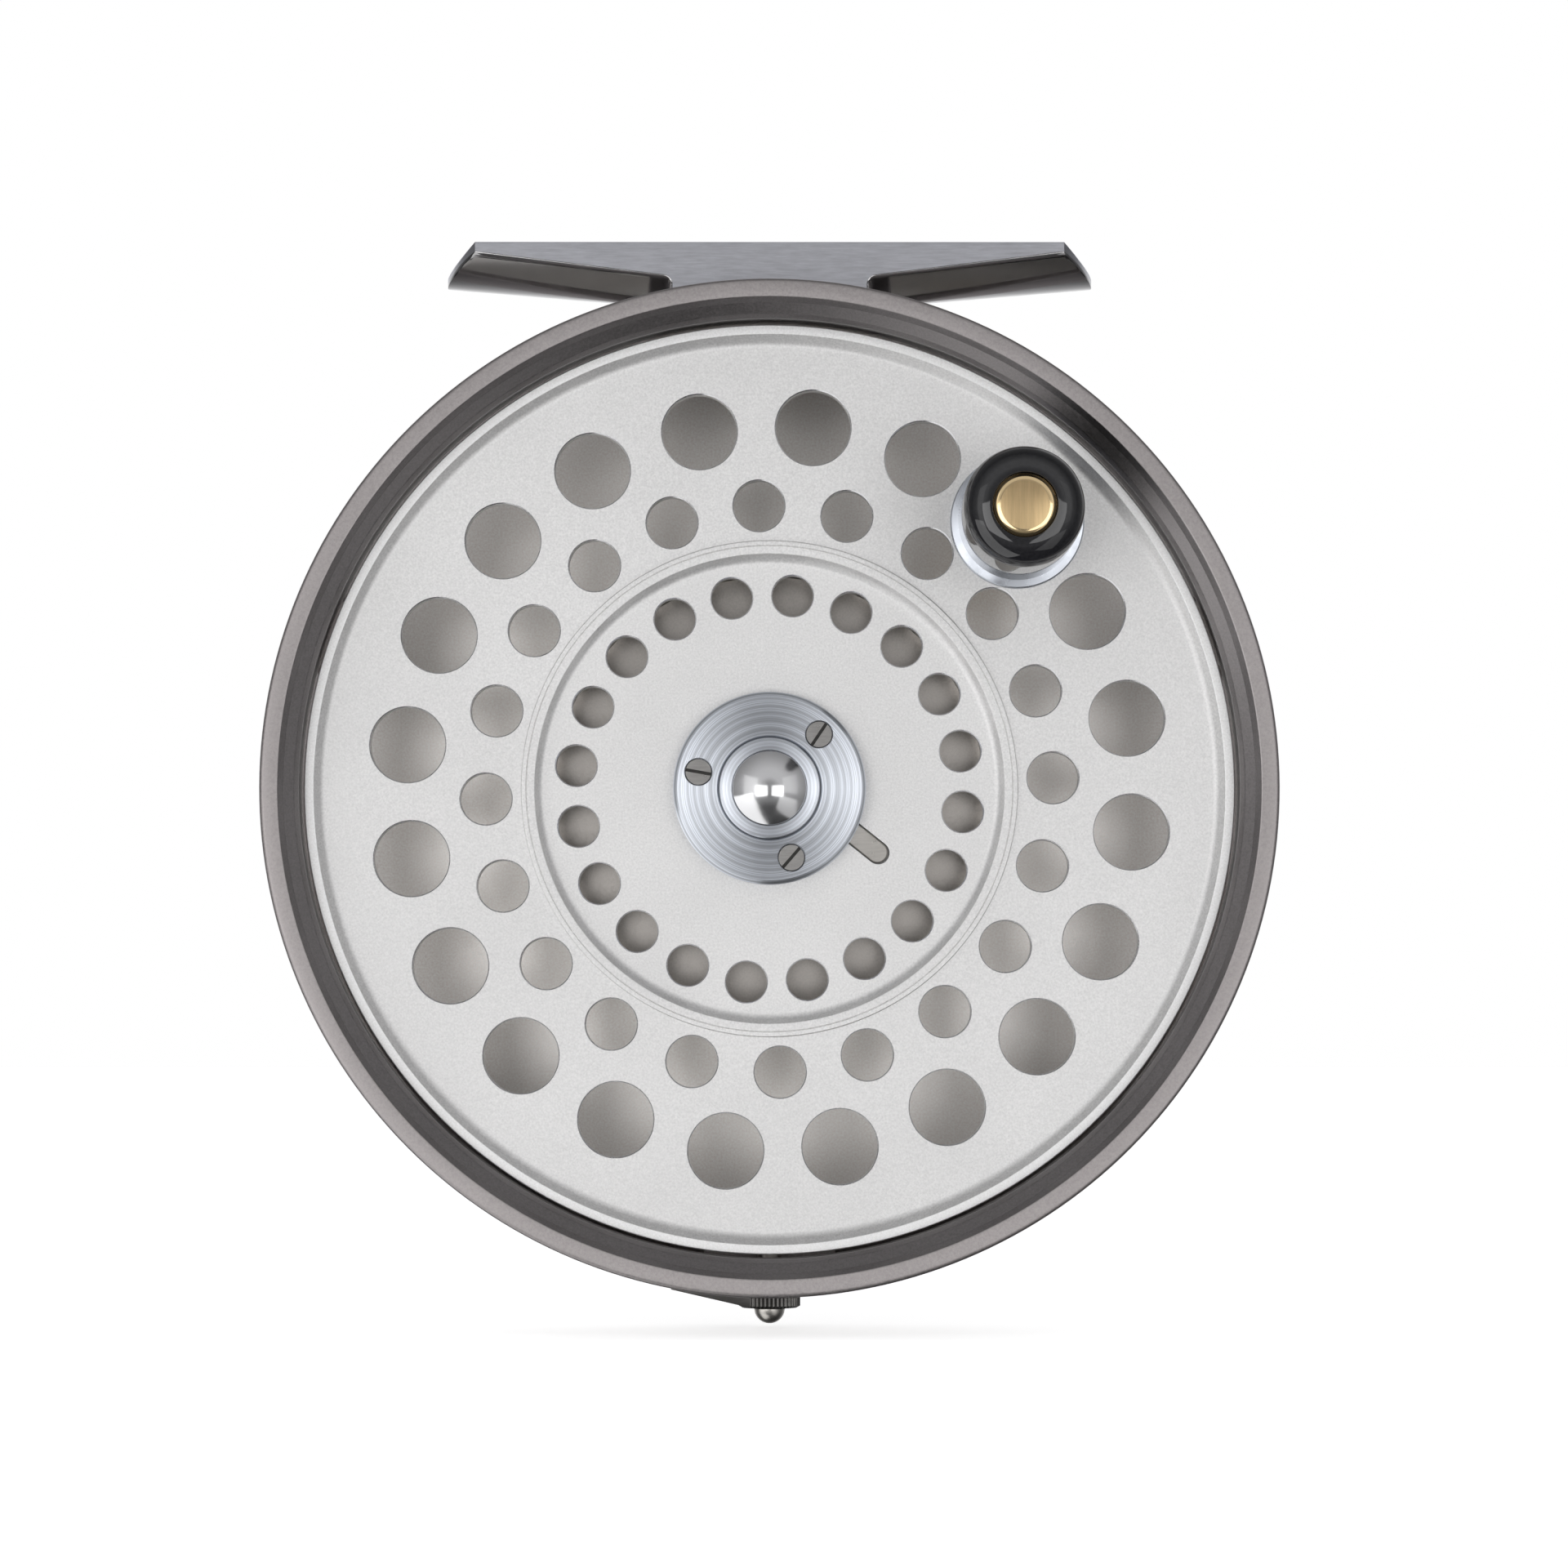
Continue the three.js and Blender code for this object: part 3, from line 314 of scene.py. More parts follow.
def finished(shell, name, node, materials, smooth=32):
    """Makes the shell one mesh piece that stands for a node and rides on the node's body."""
    bm = shell.bm
    bmesh.ops.remove_doubles(bm, verts=bm.verts, dist=2e-4)
    bmesh.ops.dissolve_degenerate(bm, edges=bm.edges, dist=1e-5)
    bmesh.ops.recalc_face_normals(bm, faces=bm.faces)
    if bm.calc_volume(signed=True) < 0:
        bmesh.ops.reverse_faces(bm, faces=bm.faces)
    return dressed(mesh_in_metres(bm, name), name, node, materials, smooth)


def mesh_in_metres(bm, name):
    bmesh.ops.scale(bm, verts=bm.verts, vec=(MM, MM, MM))
    mesh = bpy.data.meshes.new(name)
    bm.to_mesh(mesh)
    bm.free()
    return mesh


def dressed(mesh, name, node, materials, smooth=32, rides=True):
    """Makes the mesh a piece that stands for a node. It rides on the node's body, or is free."""
    mesh.shade_smooth()
    mesh.set_sharp_from_angle(angle=math.radians(smooth))
    piece = bpy.data.objects.new(name, mesh)
    bpy.context.scene.collection.objects.link(piece)
    for number, material in enumerate(materials):
        if number < len(mesh.materials):
            mesh.materials[number] = material
        else:
            mesh.materials.append(material)
    if rides:
        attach(piece, frame["nodes"][node]["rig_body"])
    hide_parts(node)
    return piece


# ------------------------------------------------------------ materials


class Tree:
    """A short way to write a node tree."""

    def __init__(self, tree):
        self.tree = tree

    def add(self, kind, **settings):
        node = self.tree.nodes.new(kind)
        for key, value in settings.items():
            setattr(node, key, value)
        return node

    def link(self, source, target):
        self.tree.links.new(source, target)

    def math(self, operation, a, b=None):
        node = self.add("ShaderNodeMath", operation=operation)
        for socket, value in zip(node.inputs, (a, b)):
            if isinstance(value, (int, float)):
                socket.default_value = value
            elif value is not None:
                self.link(value, socket)
        return node.outputs[0]

    def ramp(self, factor, low, high, span=(0.3, 0.7)):
        node = self.add("ShaderNodeMapRange")
        node.inputs["From Min"].default_value, node.inputs["From Max"].default_value = span
        node.inputs["To Min"].default_value, node.inputs["To Max"].default_value = low, high
        self.link(factor, node.inputs["Value"])
        return node.outputs["Result"]

    def colours(self, factor, stops):
        node = self.add("ShaderNodeValToRGB")
        elements = node.color_ramp.elements
        while len(elements) < len(stops):
            elements.new(0.5)
        for element, (position, colour) in zip(elements, stops):
            element.position = position
            element.color = (*colour, 1)
        self.link(factor, node.inputs["Fac"])
        return node.outputs["Color"]


class Nodes(Tree):
    """A material's node tree, with its shader and a place on the object to start from."""

    def __init__(self, name):
        self.material = bpy.data.materials.new(name)
        self.material.use_nodes = True
        super().__init__(self.material.node_tree)
        self.shader = self.tree.nodes["Principled BSDF"]
        self.place = self.add("ShaderNodeTexCoord").outputs["Object"]

    def noise(self, scale, detail=2.0, place=None, roughness=0.5):
        node = self.add("ShaderNodeTexNoise")
        node.inputs["Scale"].default_value = scale
        node.inputs["Detail"].default_value = detail
        node.inputs["Roughness"].default_value = roughness
        self.link(place or self.place, node.inputs["Vector"])
        return node.outputs["Fac"]

    def stretched(self, scale):
        node = self.add("ShaderNodeMapping")
        node.inputs["Scale"].default_value = scale
        self.link(self.place, node.inputs["Vector"])
        return node.outputs["Vector"]

    def ring_place(self, about=(0, 0)):
        """The distance from an axis along Y, as a place for a noise that runs in rings."""
        parts = self.add("ShaderNodeSeparateXYZ")
        self.link(self.place, parts.inputs[0])
        x = self.math("SUBTRACT", parts.outputs["X"], about[0] * MM)
        z = self.math("SUBTRACT", parts.outputs["Z"], about[1] * MM)
        squares = self.math("ADD", self.math("MULTIPLY", x, x), self.math("MULTIPLY", z, z))
        radius = self.math("SQRT", squares)
        joined = self.add("ShaderNodeCombineXYZ")
        self.link(radius, joined.inputs["X"])
        self.link(parts.outputs["Y"], joined.inputs["Y"])
        return joined.outputs["Vector"]

    def bump(self, height, strength, distance, normal=None):
        node = self.add("ShaderNodeBump")
        node.inputs["Strength"].default_value = strength
        node.inputs["Distance"].default_value = distance
        self.link(height, node.inputs["Height"])
        if normal is not None:
            self.link(normal, node.inputs["Normal"])
        return node.outputs["Normal"]

    def set(self, **values):
        for key, value in values.items():
            socket = self.shader.inputs[key.replace("_", " ")]
            if hasattr(value, "is_output"):
                self.link(value, socket)
            else:
                socket.default_value = value
        return self


def tint(colour, factor):
    return tuple(min(1.0, c * factor) for c in colour)


def blasted(name, colour, roughness, grain=5200, depth=0.00002):
    """Fine bead-blasted metal: a speckle of tiny facets, slightly uneven in tone."""
    n = Nodes(name)
    speckle = n.noise(grain, 3.0, roughness=0.7)
    clouds = n.noise(70, 3.0)
    fine = n.colours(speckle, [(0.3, tint(colour, 0.84)), (0.7, tint(colour, 1.12))])
    tone = n.add("ShaderNodeMix", data_type="RGBA", blend_type="MULTIPLY")
    tone.inputs["Factor"].default_value = 1.0
    n.link(fine, tone.inputs[6])
    n.link(n.colours(clouds, [(0.3, (0.95,) * 3), (0.7, (1.0,) * 3)]), tone.inputs[7])
    n.set(
        Base_Color=tone.outputs[2],
        Metallic=1.0,
        Roughness=n.ramp(speckle, roughness - 0.07, roughness + 0.09),
        Normal=n.bump(speckle, 0.55, depth),
    )
    return n.material


def machined(name, colour, roughness=0.22):
    """A bright cut edge with faint tool lines."""
    n = Nodes(name)
    lines = n.noise(9000, 2.0)
    n.set(
        Base_Color=n.colours(lines, [(0.2, tint(colour, 0.9)), (0.8, tint(colour, 1.08))]),
        Metallic=1.0,
        Roughness=n.ramp(lines, roughness - 0.05, roughness + 0.08),
        Normal=n.bump(lines, 0.15, 0.00001),
    )
    return n.material


def turned_metal(name, colour, roughness=0.24, about=(0, 0), rings=5200, depth=0.000012):
    """Metal faced on a lathe: fine rings about an axis, which draw out the highlights."""
    n = Nodes(name)
    place = n.ring_place(about)
    fine = n.noise(rings, 4.0, place, 0.75)
    broad = n.noise(rings / 7, 2.0, place)
    marks = n.math("ADD", n.math("MULTIPLY", fine, 0.95), n.math("MULTIPLY", broad, 0.25))
    scuffs = n.noise(900, 4.0)
    n.set(
        Base_Color=n.colours(marks, [(0.5, tint(colour, 0.66)), (0.7, tint(colour, 1.25))]),
        Metallic=1.0,
        Roughness=n.ramp(scuffs, roughness - 0.015, roughness + 0.02),
        Normal=n.bump(marks, 0.8, depth),
        Anisotropic=0.85,
        Anisotropic_Rotation=0.25,
    )
    tangent = n.add("ShaderNodeTangent", direction_type="RADIAL", axis="Y")
    n.link(tangent.outputs[0], n.shader.inputs["Tangent"])
    return n.material


def polished(name, colour, roughness=0.07):
    """Bright polished metal with hairline scratches and a little haze."""
    n = Nodes(name)
    haze = n.noise(420, 4.0)
    hair = n.noise(1.0, 3.0, n.stretched((9000, 900, 2600)))
    n.set(
        Base_Color=n.colours(haze, [(0.2, tint(colour, 0.95)), (0.8, tint(colour, 1.03))]),
        Metallic=1.0,
        Roughness=n.ramp(haze, roughness * 0.6, roughness * 1.7),
        Normal=n.bump(hair, 0.05, 0.000004),
    )
    return n.material


def satin(name, colour, roughness=0.3, direction=(700, 700, 5200), spread=0.03):
    """Satin metal, rubbed one way."""
    n = Nodes(name)
    grain = n.noise(1.0, 4.0, n.stretched(direction), 0.65)
    blotch = n.noise(380, 3.0)
    n.set(
        Base_Color=n.colours(grain, [(0.3, tint(colour, 0.85)), (0.75, tint(colour, 1.12))]),
        Metallic=1.0,
        Roughness=n.ramp(blotch, roughness - spread, roughness + spread),
        Normal=n.bump(grain, 0.35, 0.00001),
    )
    return n.material


def gloss_black(name):
    """Polished black ebonite with a very slight unevenness."""
    n = Nodes(name)
    waves = n.noise(160, 2.0)
    dust = n.noise(3800, 4.0)
    n.set(
        Base_Color=n.colours(dust, [(0.3, (0.006, 0.006, 0.007)), (0.85, (0.014, 0.014, 0.016))]),
        Roughness=n.ramp(dust, 0.03, 0.06),
        Normal=n.bump(waves, 0.02, 0.0001),
        IOR=1.65,
    )
    return n.material


SPOOL_METAL = blasted("blasted_silver", (0.84, 0.835, 0.83), 0.54)
# The spool's hidden inside gets a brighter, warmer copy of the spool metal. This is painted light,
# standing in for light that reaches in through the holes.
SPOOL_INSIDE_PAINTED_LIGHT = blasted("blasted_silver_inside_painted_light", (0.97, 0.91, 0.87), 0.40, depth=0.00001)
# A brighter copy of the blasted spool metal for the rim's crest. This is a painted highlight.
SPOOL_CREST_PAINTED_HIGHLIGHT = blasted("rim_crest_painted_highlight", (0.98, 0.975, 0.965), 0.5)
DISC_METAL = blasted("blasted_disc", (0.46, 0.435, 0.41), 0.42, depth=0.00001)
SPOOL_EDGE = machined("bright_cut_edge", (0.86, 0.86, 0.88))
FRAME_METAL = blasted("blasted_bronze_grey", (0.41, 0.382, 0.38), 0.44)
FRAME_EDGE = machined("bronze_grey_edge", (0.52, 0.49, 0.49), 0.25)
# A darker copy of the frame metal for the cove. This is painted shade, where the hollow looks dark
# from reflecting a dark surround.
FRAME_COVE_PAINTED_SHADE = blasted("bronze_grey_cove_painted_shade", (0.25, 0.235, 0.235), 0.36)
FOOT_METAL = satin("foot_satin", (0.54, 0.545, 0.585), 0.30, (500, 5200, 5200), 0.01)
FOOT_POLISH = polished("foot_polish", (0.37, 0.365, 0.37), 0.10)
TURNED = turned_metal("turned_aluminium", (0.66, 0.69, 0.745), 0.3, rings=5600)
STEEL = polished("polished_steel", (0.74, 0.74, 0.75), 0.12)
NICKEL = satin("satin_nickel", (0.52, 0.50, 0.47))
SCREW_METAL = satin("screw_nickel", (0.36, 0.35, 0.34), 0.3)
SLOT_SHADE = satin("slot_shade", (0.06, 0.058, 0.056), 0.45)
DARK_NICKEL = satin("dark_nickel", (0.13, 0.125, 0.12), 0.32)
SPRING = satin("spring_strip", (0.52, 0.53, 0.55), 0.28, (5200, 700, 700))
BRONZE = turned_metal("machined_bronze", (0.62, 0.43, 0.22), 0.28, rings=3000)
CHROME = polished("polished_chrome", (0.52, 0.545, 0.59), 0.22)
BRASS = satin("brushed_brass", (0.60, 0.44, 0.24), 0.30, (4200, 700, 260))
BRASS_EDGE = polished("polished_brass", (0.86, 0.66, 0.38), 0.10)
EBONITE = gloss_black("black_ebonite")

# ------------------------------------------------------------ spool


def hole_places(holes, skip_handle=False):
    places = []
    for i in range(HOLE_COUNT):
        angle = holes["phase"] + 360 / HOLE_COUNT * i
        if not (skip_handle and abs(angle - HANDLE_ANGLE) < 1):
            places.append(polar(holes["ring"], angle))
    return places


def hole_loops(holes, skip_handle=False):
    r = holes["r"] + HOLE_CHAMFER
    return [circle(r, holes["sides"], p) for p in hole_places(holes, skip_handle)]


def drill_holes(shell, holes, front, back, skip_handle=False):
    for place in hole_places(holes, skip_handle):
        shell.drill(place, holes["r"], front, back, holes["sides"])


def latch_pocket():
    """The outline of the latch's pocket: a round room, a slot for the tail, one for the spring."""
    r, side, spring = 5.02, TAIL_HALF + 0.08, 0.75
    front, rear = 0.52, 0.45 - LATCH_TRAVEL
    tail_centre = TAIL_END - TAIL_HALF + 0.1
    upper = math.degrees(math.asin((TAIL_OFFSET + side) / r))
    lower = math.degrees(math.asin((TAIL_OFFSET - side) / r))
    throat = math.degrees(math.asin(spring / r))
    points = arc(side, -90, 90, 16, (tail_centre, TAIL_OFFSET))
    points += arc(r, upper, 90, 16, (front, 0))
    points += arc(r, 90, 180 - throat, 20, (rear, 0))
    points += [(COIL_START - 0.25, spring), (COIL_START - 0.25, -spring)]
    points += arc(r, 180 + throat, 270, 20, (rear, 0))
    points += arc(r, 270, 360 + lower, 24, (front, 0))
    return turned_by(points, LATCH_ANGLE)


def spool_front(s, pocket, pin_hole):
    """The sunk dish with the latch's pocket, the raised ring round it, and the flat face."""
    s.patch(DISH, circle(DISH_TO, ROUND), [pocket, *hole_loops(SMALL_HOLES)])
    s.wall(pocket, [DISH, POCKET_FLOOR])
    s.patch(POCKET_FLOOR, pocket, [circle(HUB_BORE, ROUND)])
    ring = [
        (DISH_TO, DISH),
        (20.25, DISH, 0.85),
        (20.62, RING_TOP, 0.12),
        (21.3, RING_TOP),
        (21.36, RING_TOP + 0.06),
        (21.42, RING_TOP),
        (21.8, RING_TOP, 0.08),
        (21.8, FLANGE_FACE, 0.06),
        (FACE_FROM, FLANGE_FACE),
    ]
    s.turn(rounded(ring, steps=7))
    holes = hole_loops(LARGE_HOLES, True) + hole_loops(MEDIUM_HOLES)
    inner = circle(FACE_FROM, ROUND)
    s.patch(FLANGE_FACE, circle(FACE_TO, ROUND), [inner, pin_hole, *holes])
    s.wall(pin_hole, [FLANGE_FACE, FLANGE_BACK])
    inner = circle(ARBOR_R + 0.9, ROUND)
    # Mark 2, the back of the flange, takes the painted-light copy of the spool metal.
    s.patch(FLANGE_BACK, circle(FLANGE_TO, ROUND), [inner, pin_hole, *holes], 2)


def spool_rim(s):
    """The raised rim, with its crest given a brighter copy of the spool metal as a painted
    highlight.
    """
    crest_from = 39.9
    rim = [
        (FACE_TO, FLANGE_FACE),
        (39.25, FLANGE_FACE, 0.9),
        (39.98, SPOOL_RIM, 0.1),
        (SPOOL_R, SPOOL_RIM, 0.12),
        (SPOOL_R, FLANGE_BACK + 0.5, 0.2),
        (39.8, FLANGE_BACK + 0.5, 0.15),
        (39.4, FLANGE_BACK, 0.3),
        (FLANGE_TO, FLANGE_BACK),
    ]
    profile = rounded(rim, steps=7)
    marks = []
    for a, b in zip(profile, profile[1:]):
        crest = min(a[0], b[0]) > crest_from and max(a[1], b[1]) < SPOOL_RIM + 0.2
        marks.append(3 if crest else 0)
    s.turn(profile, mark=marks)


def spool_drum(s):
    """The arbor with the rear flange, and the web and tube that carry them on the spindle."""
    drum = [
        (ARBOR_R + 0.9, FLANGE_BACK),
        (ARBOR_R, FLANGE_BACK, 0.8),
        (ARBOR_R, REAR_FLANGE, 0.8),
        (40.4, REAR_FLANGE, 0.2),
        (40.4, SPOOL_BACK, 0.2),
        (ARBOR_BORE, SPOOL_BACK, 0.2),
        (ARBOR_BORE, WEB_BACK),
    ]
    # Mark 2: the drum takes the painted-light copy of the spool metal.
    s.turn(rounded(drum, steps=5), mark=2)
    holes = [circle(HUB_TUBE_FROM, ROUND), *hole_loops(SMALL_HOLES)]
    s.patch(WEB_BACK, circle(ARBOR_BORE, ROUND), holes, 2)
    tube_r, end = 7.0, low("click_gear").y - 0.05
    tube = [
        (HUB_TUBE_FROM, WEB_BACK),
        (10.6, WEB_BACK + 1.3, 0.6),
        (tube_r, WEB_BACK + 1.3, 0.4),
        (tube_r, end, 0.1),
        (HUB_BORE, end),
        (HUB_BORE, POCKET_FLOOR),
    ]
    s.turn(rounded(tube, steps=4))


def build_spool():
    s = Shell()
    spool_front(s, latch_pocket(), circle(PIN_HOLE_R, 32, tuple(HANDLE)))
    spool_rim(s)
    spool_drum(s)
    drill_holes(s, LARGE_HOLES, FLANGE_FACE, FLANGE_BACK, True)
    drill_holes(s, MEDIUM_HOLES, FLANGE_FACE, FLANGE_BACK)
    drill_holes(s, SMALL_HOLES, DISH, WEB_BACK)
    metals = [SPOOL_METAL, SPOOL_EDGE, SPOOL_INSIDE_PAINTED_LIGHT, SPOOL_CREST_PAINTED_HIGHLIGHT]
    finished(s, "spool_body", "spool", metals)


# ------------------------------------------------------------ frame


def front_ring(s):
    """The frame's front ring. Its hollowed inner side, the cove, takes a darker copy of the frame
    metal as painted shade.
    """
    front, cove_r = FRAME_FRONT, 42.85
    ring = [
        (FRAME_R, FRONT_RING_BACK, 0.3),
        (FRAME_R, front, 0.4),
        (cove_r, front, 0.2),
        (42.4, front + 0.72, 0.15),
        (41.5, front + 1.35, 0.3),
        (41.15, front + 1.95, 0.1),
        (41.15, FRONT_RING_BACK, 0.25),
    ]
    profile = rounded(ring, closed=True, steps=5)
    marks = []
    for a, b in zip(profile, profile[1:] + profile[:1]):
        # Faces in the cove take mark 2, the painted-shade copy of the frame metal.
        cove = max(a[0], b[0]) < cove_r + 0.01 and min(a[1], b[1]) < front + 2
        marks.append(2 if cove else 0)
    s.turn(profile, mark=marks, closed=True)


def rear_drum(s):
    """The rear plate with its hub and holes, and the rim round it."""
    outer_holes = hole_loops(LARGE_HOLES) + hole_loops(MEDIUM_HOLES)
    plate_to, plate_from = 38.0, 21.5
    inner, boss = -BACK_PLATE, -4.7
    hub = [
        (plate_from, 0),
        (20.6, 0),
        (20.45, -0.12),
        (20.3, 0),
        (SPINDLE_R + 0.15, 0),
        (SPINDLE_R, -0.15),
        (SPINDLE_R, boss),
        (5.0, boss, 0.15),
        (5.0, inner, 0.3),
        (plate_from, inner),
    ]
    s.turn(rounded(hub))
    s.patch(inner, circle(plate_to, ROUND), [circle(plate_from, ROUND), *outer_holes])
    rim = [
        (plate_to, inner),
        (REAR_RIM_INSIDE, inner, 0.9),
        (REAR_RIM_INSIDE, REAR_RIM_FRONT, 0.3),
        (FRAME_R, REAR_RIM_FRONT, 0.3),
        (FRAME_R, 0, 1.1),
        (39.4, 0),
        (39.25, -0.12),
        (39.1, 0),
        (plate_to, 0),
    ]
    s.turn(rounded(rim, steps=6))
    s.patch(0, circle(plate_to, ROUND), [circle(plate_from, ROUND), *outer_holes])
    drill_holes(s, LARGE_HOLES, inner, 0)
    drill_holes(s, MEDIUM_HOLES, inner, 0)


def pillar_stations(front, back):
    """Places along a pillar from front to back, each with how far its ends' flares widen it."""
    flare = 1.1
    stations = []
    for i in range(9):
        t = i / 8
        stations.append((front + 0.3 + 1.5 * t, flare * (1 - math.sqrt(1 - (1 - t) ** 2))))
    stations += [(front + back - y, wider) for y, wider in reversed(stations)]
    return [(front, flare), *stations, (back, flare)]


def pillar(s, angle, half_angle, inner_r):
    """A pillar between ring and drum, bent to the frame's curve and flared into them."""
    outer_r = FRAME_R - 0.02
    half = math.radians(half_angle) * FRAME_R
    rows = []
    for y, wider in pillar_stations(FRONT_RING_BACK - 0.3, REAR_RIM_FRONT + 0.3):
        w = half + wider
        section = rounded(
            [(-w, inner_r, 0.5), (w, inner_r, 0.5), (w, outer_r, 0.35), (-w, outer_r, 0.35)],
            closed=True,
        )
        row = []
        for (along, r), (next_along, _) in zip(section, section[1:] + section[:1]):
            pieces = 12 if abs(next_along - along) > half else 1
            for k in range(pieces):
                bend = (along + (next_along - along) * k / pieces) / FRAME_R
                x, z = polar(r, angle + math.degrees(bend))
                row.append((x, y, z))
        rows.append(row)
    s.bridge(rows)
    s.face(rows[0])
    s.face(rows[-1])


def build_frame():
    drum = Shell()
    rear_drum(drum)
    rear = finished(drum, "frame_rear_drum", "frame_cage", [FRAME_METAL, FRAME_EDGE])
    cut_away(rear, slot_cutter())
    s = Shell()
    front_ring(s)
    pillar(s, 90, 14.5, 41.4)
    for angle in (20, 160, 225, 315):
        pillar(s, angle, 4.5, REAR_RIM_INSIDE)
    post = [(0.66, -6.2), (1.7, -6.2), (1.7, -2.6), (0.66, -2.6)]
    for side in ("left", "right"):
        s.turn(post, 32, middle("spring_screw_" + side).xz, closed=True)
    metals = [FRAME_METAL, FRAME_EDGE, FRAME_COVE_PAINTED_SHADE]
    finished(s, "frame_ring_and_pillars", "frame_cage", metals)


def slot_cutter():
    """The slot in the rear rim that the regulator's stud moves in."""
    s = Shell()
    half_angle, front, back = REGULATOR_SLOT_HALF, REGULATOR_Y - 1.2, -BACK_PLATE
    outline = arc(FRAME_R + 1, 270 - half_angle, 270 + half_angle, 24)
    outline += arc(REAR_RIM_INSIDE - 1, 270 + half_angle, 270 - half_angle, 24)
    s.wall(outline, [front, back])
    s.patch(front, outline, [])
    s.patch(back, outline, [])
    return cutter_piece(s, "slot_cutter")


def foot_underside(x, y):
    """The height of the plate's hollowed underside, which rises towards its end."""
    beyond = max(x - SADDLE_HALF - 0.2, 0)
    edge, mid = 45.36 + 0.124 * beyond, 43.63 + 0.082 * beyond
    return mid + (edge - mid) * (y / FOOT_HALF_WIDTH) ** 2


def foot_section(x, width, drop):
    """Points round the section at x: along the groove, then back along the lowered underside."""
    easing = min(0.22, width / 2)
    across = [width * math.sin(math.pi / 2 * (i / 14 - 1)) for i in range(29)]
    groove_centre = FOOT_TOP + math.sqrt(FOOT_GROOVE_R**2 - FOOT_HALF_WIDTH**2)

    def ease(y):
        past = max(0.0, abs(y) - (width - easing))
        return easing - math.sqrt(max(easing**2 - past**2, 0))

    def stepped(line, step):
        """The line with a short step at each end, which keeps the flat edges flat when shaded."""
        (y0, z0), (y1, z1) = line[0], line[-1]
        return [(y0, z0 + step), *line, (y1, z1 + step)]

    groove = [(y, groove_centre - math.sqrt(FOOT_GROOVE_R**2 - y * y) - ease(y)) for y in across]
    under = [(y, max(FOOT_SEAT, foot_underside(x, y) - drop) + ease(y)) for y in reversed(across)]
    return stepped(groove, -0.04) + stepped(under, 0.04)


def foot_stations():
    """The foot's sections from its middle to one end: the place, half the width and the drop."""
    fillet_end = SADDLE_HALF + FOOT_FILLET
    rise = FOOT_END - FOOT_CORNER_X
    end_r = (FOOT_HALF_WIDTH**2 + rise**2) / (2 * rise)
    sweep = math.asin(FOOT_HALF_WIDTH / end_r)
    stations = [(SADDLE_HALF * i / 12, FOOT_HALF_WIDTH, math.inf) for i in range(13)]
    for i in range(9):
        a = math.pi / 2 * i / 8
        x = SADDLE_HALF + FOOT_FILLET * (1 - math.cos(a))
        stations.append((x, FOOT_HALF_WIDTH, FOOT_FILLET * (1 - math.sin(a))))
    for i in range(1, 25):
        x = fillet_end + (FOOT_CORNER_X - fillet_end) * i / 24
        stations.append((x, FOOT_HALF_WIDTH, 0))
    for i in range(1, 20):
        a = sweep * (1 - i / 19.5)
        stations.append((FOOT_END - end_r + end_r * math.cos(a), end_r * math.sin(a), 0))
    return [*stations, (FOOT_END, 0.02, 0)]


def build_foot():
    """The foot: a hollowed plate on a saddle, drawn in sections across its length."""
    half = []
    for x, width, drop in foot_stations():
        half.append([(x, FOOT_CENTRE_Y + y, z) for y, z in foot_section(x, width, drop)])
    rows = [[(-x, y, z) for x, y, z in row] for row in reversed(half[1:])] + half
    count = len(rows[0])
    s = Shell()
    for a, b in zip(rows, rows[1:]):
        for i in range(count):
            j = (i + 1) % count
            under = count // 2 <= i < count - 1
            s.face([a[i], a[j], b[j], b[i]], 1 if under else 0)
    s.face(rows[0])
    s.face(rows[-1])
    foot = finished(s, "foot_body", "reel_foot", [FOOT_METAL, FOOT_POLISH], 28)
    for side in ("left", "right"):
        cut_away(foot, screw_cutter(side))


def screw_cutter(side):
    """The countersunk hole of a foot screw."""
    top, x = high("foot_screw_" + side).z, middle("foot_screw_" + side).x
    profile = [(0, 3), (2.0, 3), (2.0, -0.2), (1.1, -1.1), (1.1, -5), (0, -5)]
    s = Shell()
    rows = []
    for r, z in profile:
        ring = circle(r, 48, (x, FOOT_CENTRE_Y)) if r else [(x, FOOT_CENTRE_Y)]
        rows.append([(*place, top + z) for place in ring])
    s.bridge(rows)
    return cutter_piece(s, "screw_cutter")


def cutter_piece(shell, name):
    bm = shell.bm
    bmesh.ops.remove_doubles(bm, verts=bm.verts, dist=1e-4)
    bmesh.ops.recalc_face_normals(bm, faces=bm.faces)
    cutter = bpy.data.objects.new(name, mesh_in_metres(bm, name))
    bpy.context.scene.collection.objects.link(cutter)
    return cutter


def cut_away(piece, cutter):
    """Cuts the cutter's shape out of a piece and removes the cutter."""
    modifier = piece.modifiers.new("cut", "BOOLEAN")
    modifier.operation, modifier.solver, modifier.object = "DIFFERENCE", "EXACT", cutter
    graph = bpy.context.evaluated_depsgraph_get()
    mesh = bpy.data.meshes.new_from_object(piece.evaluated_get(graph))
    piece.modifiers.clear()
    piece.data = mesh
    bpy.data.objects.remove(cutter)
    mesh.shade_smooth()
    mesh.set_sharp_from_angle(angle=math.radians(28))


# ------------------------------------------------------------ turned pieces


def turned_piece(name, node, materials, profile, about=(0, 0), sides=96, closed=False,
                 marks=0, smooth=32):
    s = Shell()
    s.turn(profile, sides, about, marks, closed)
    return finished(s, name, node, materials, smooth)


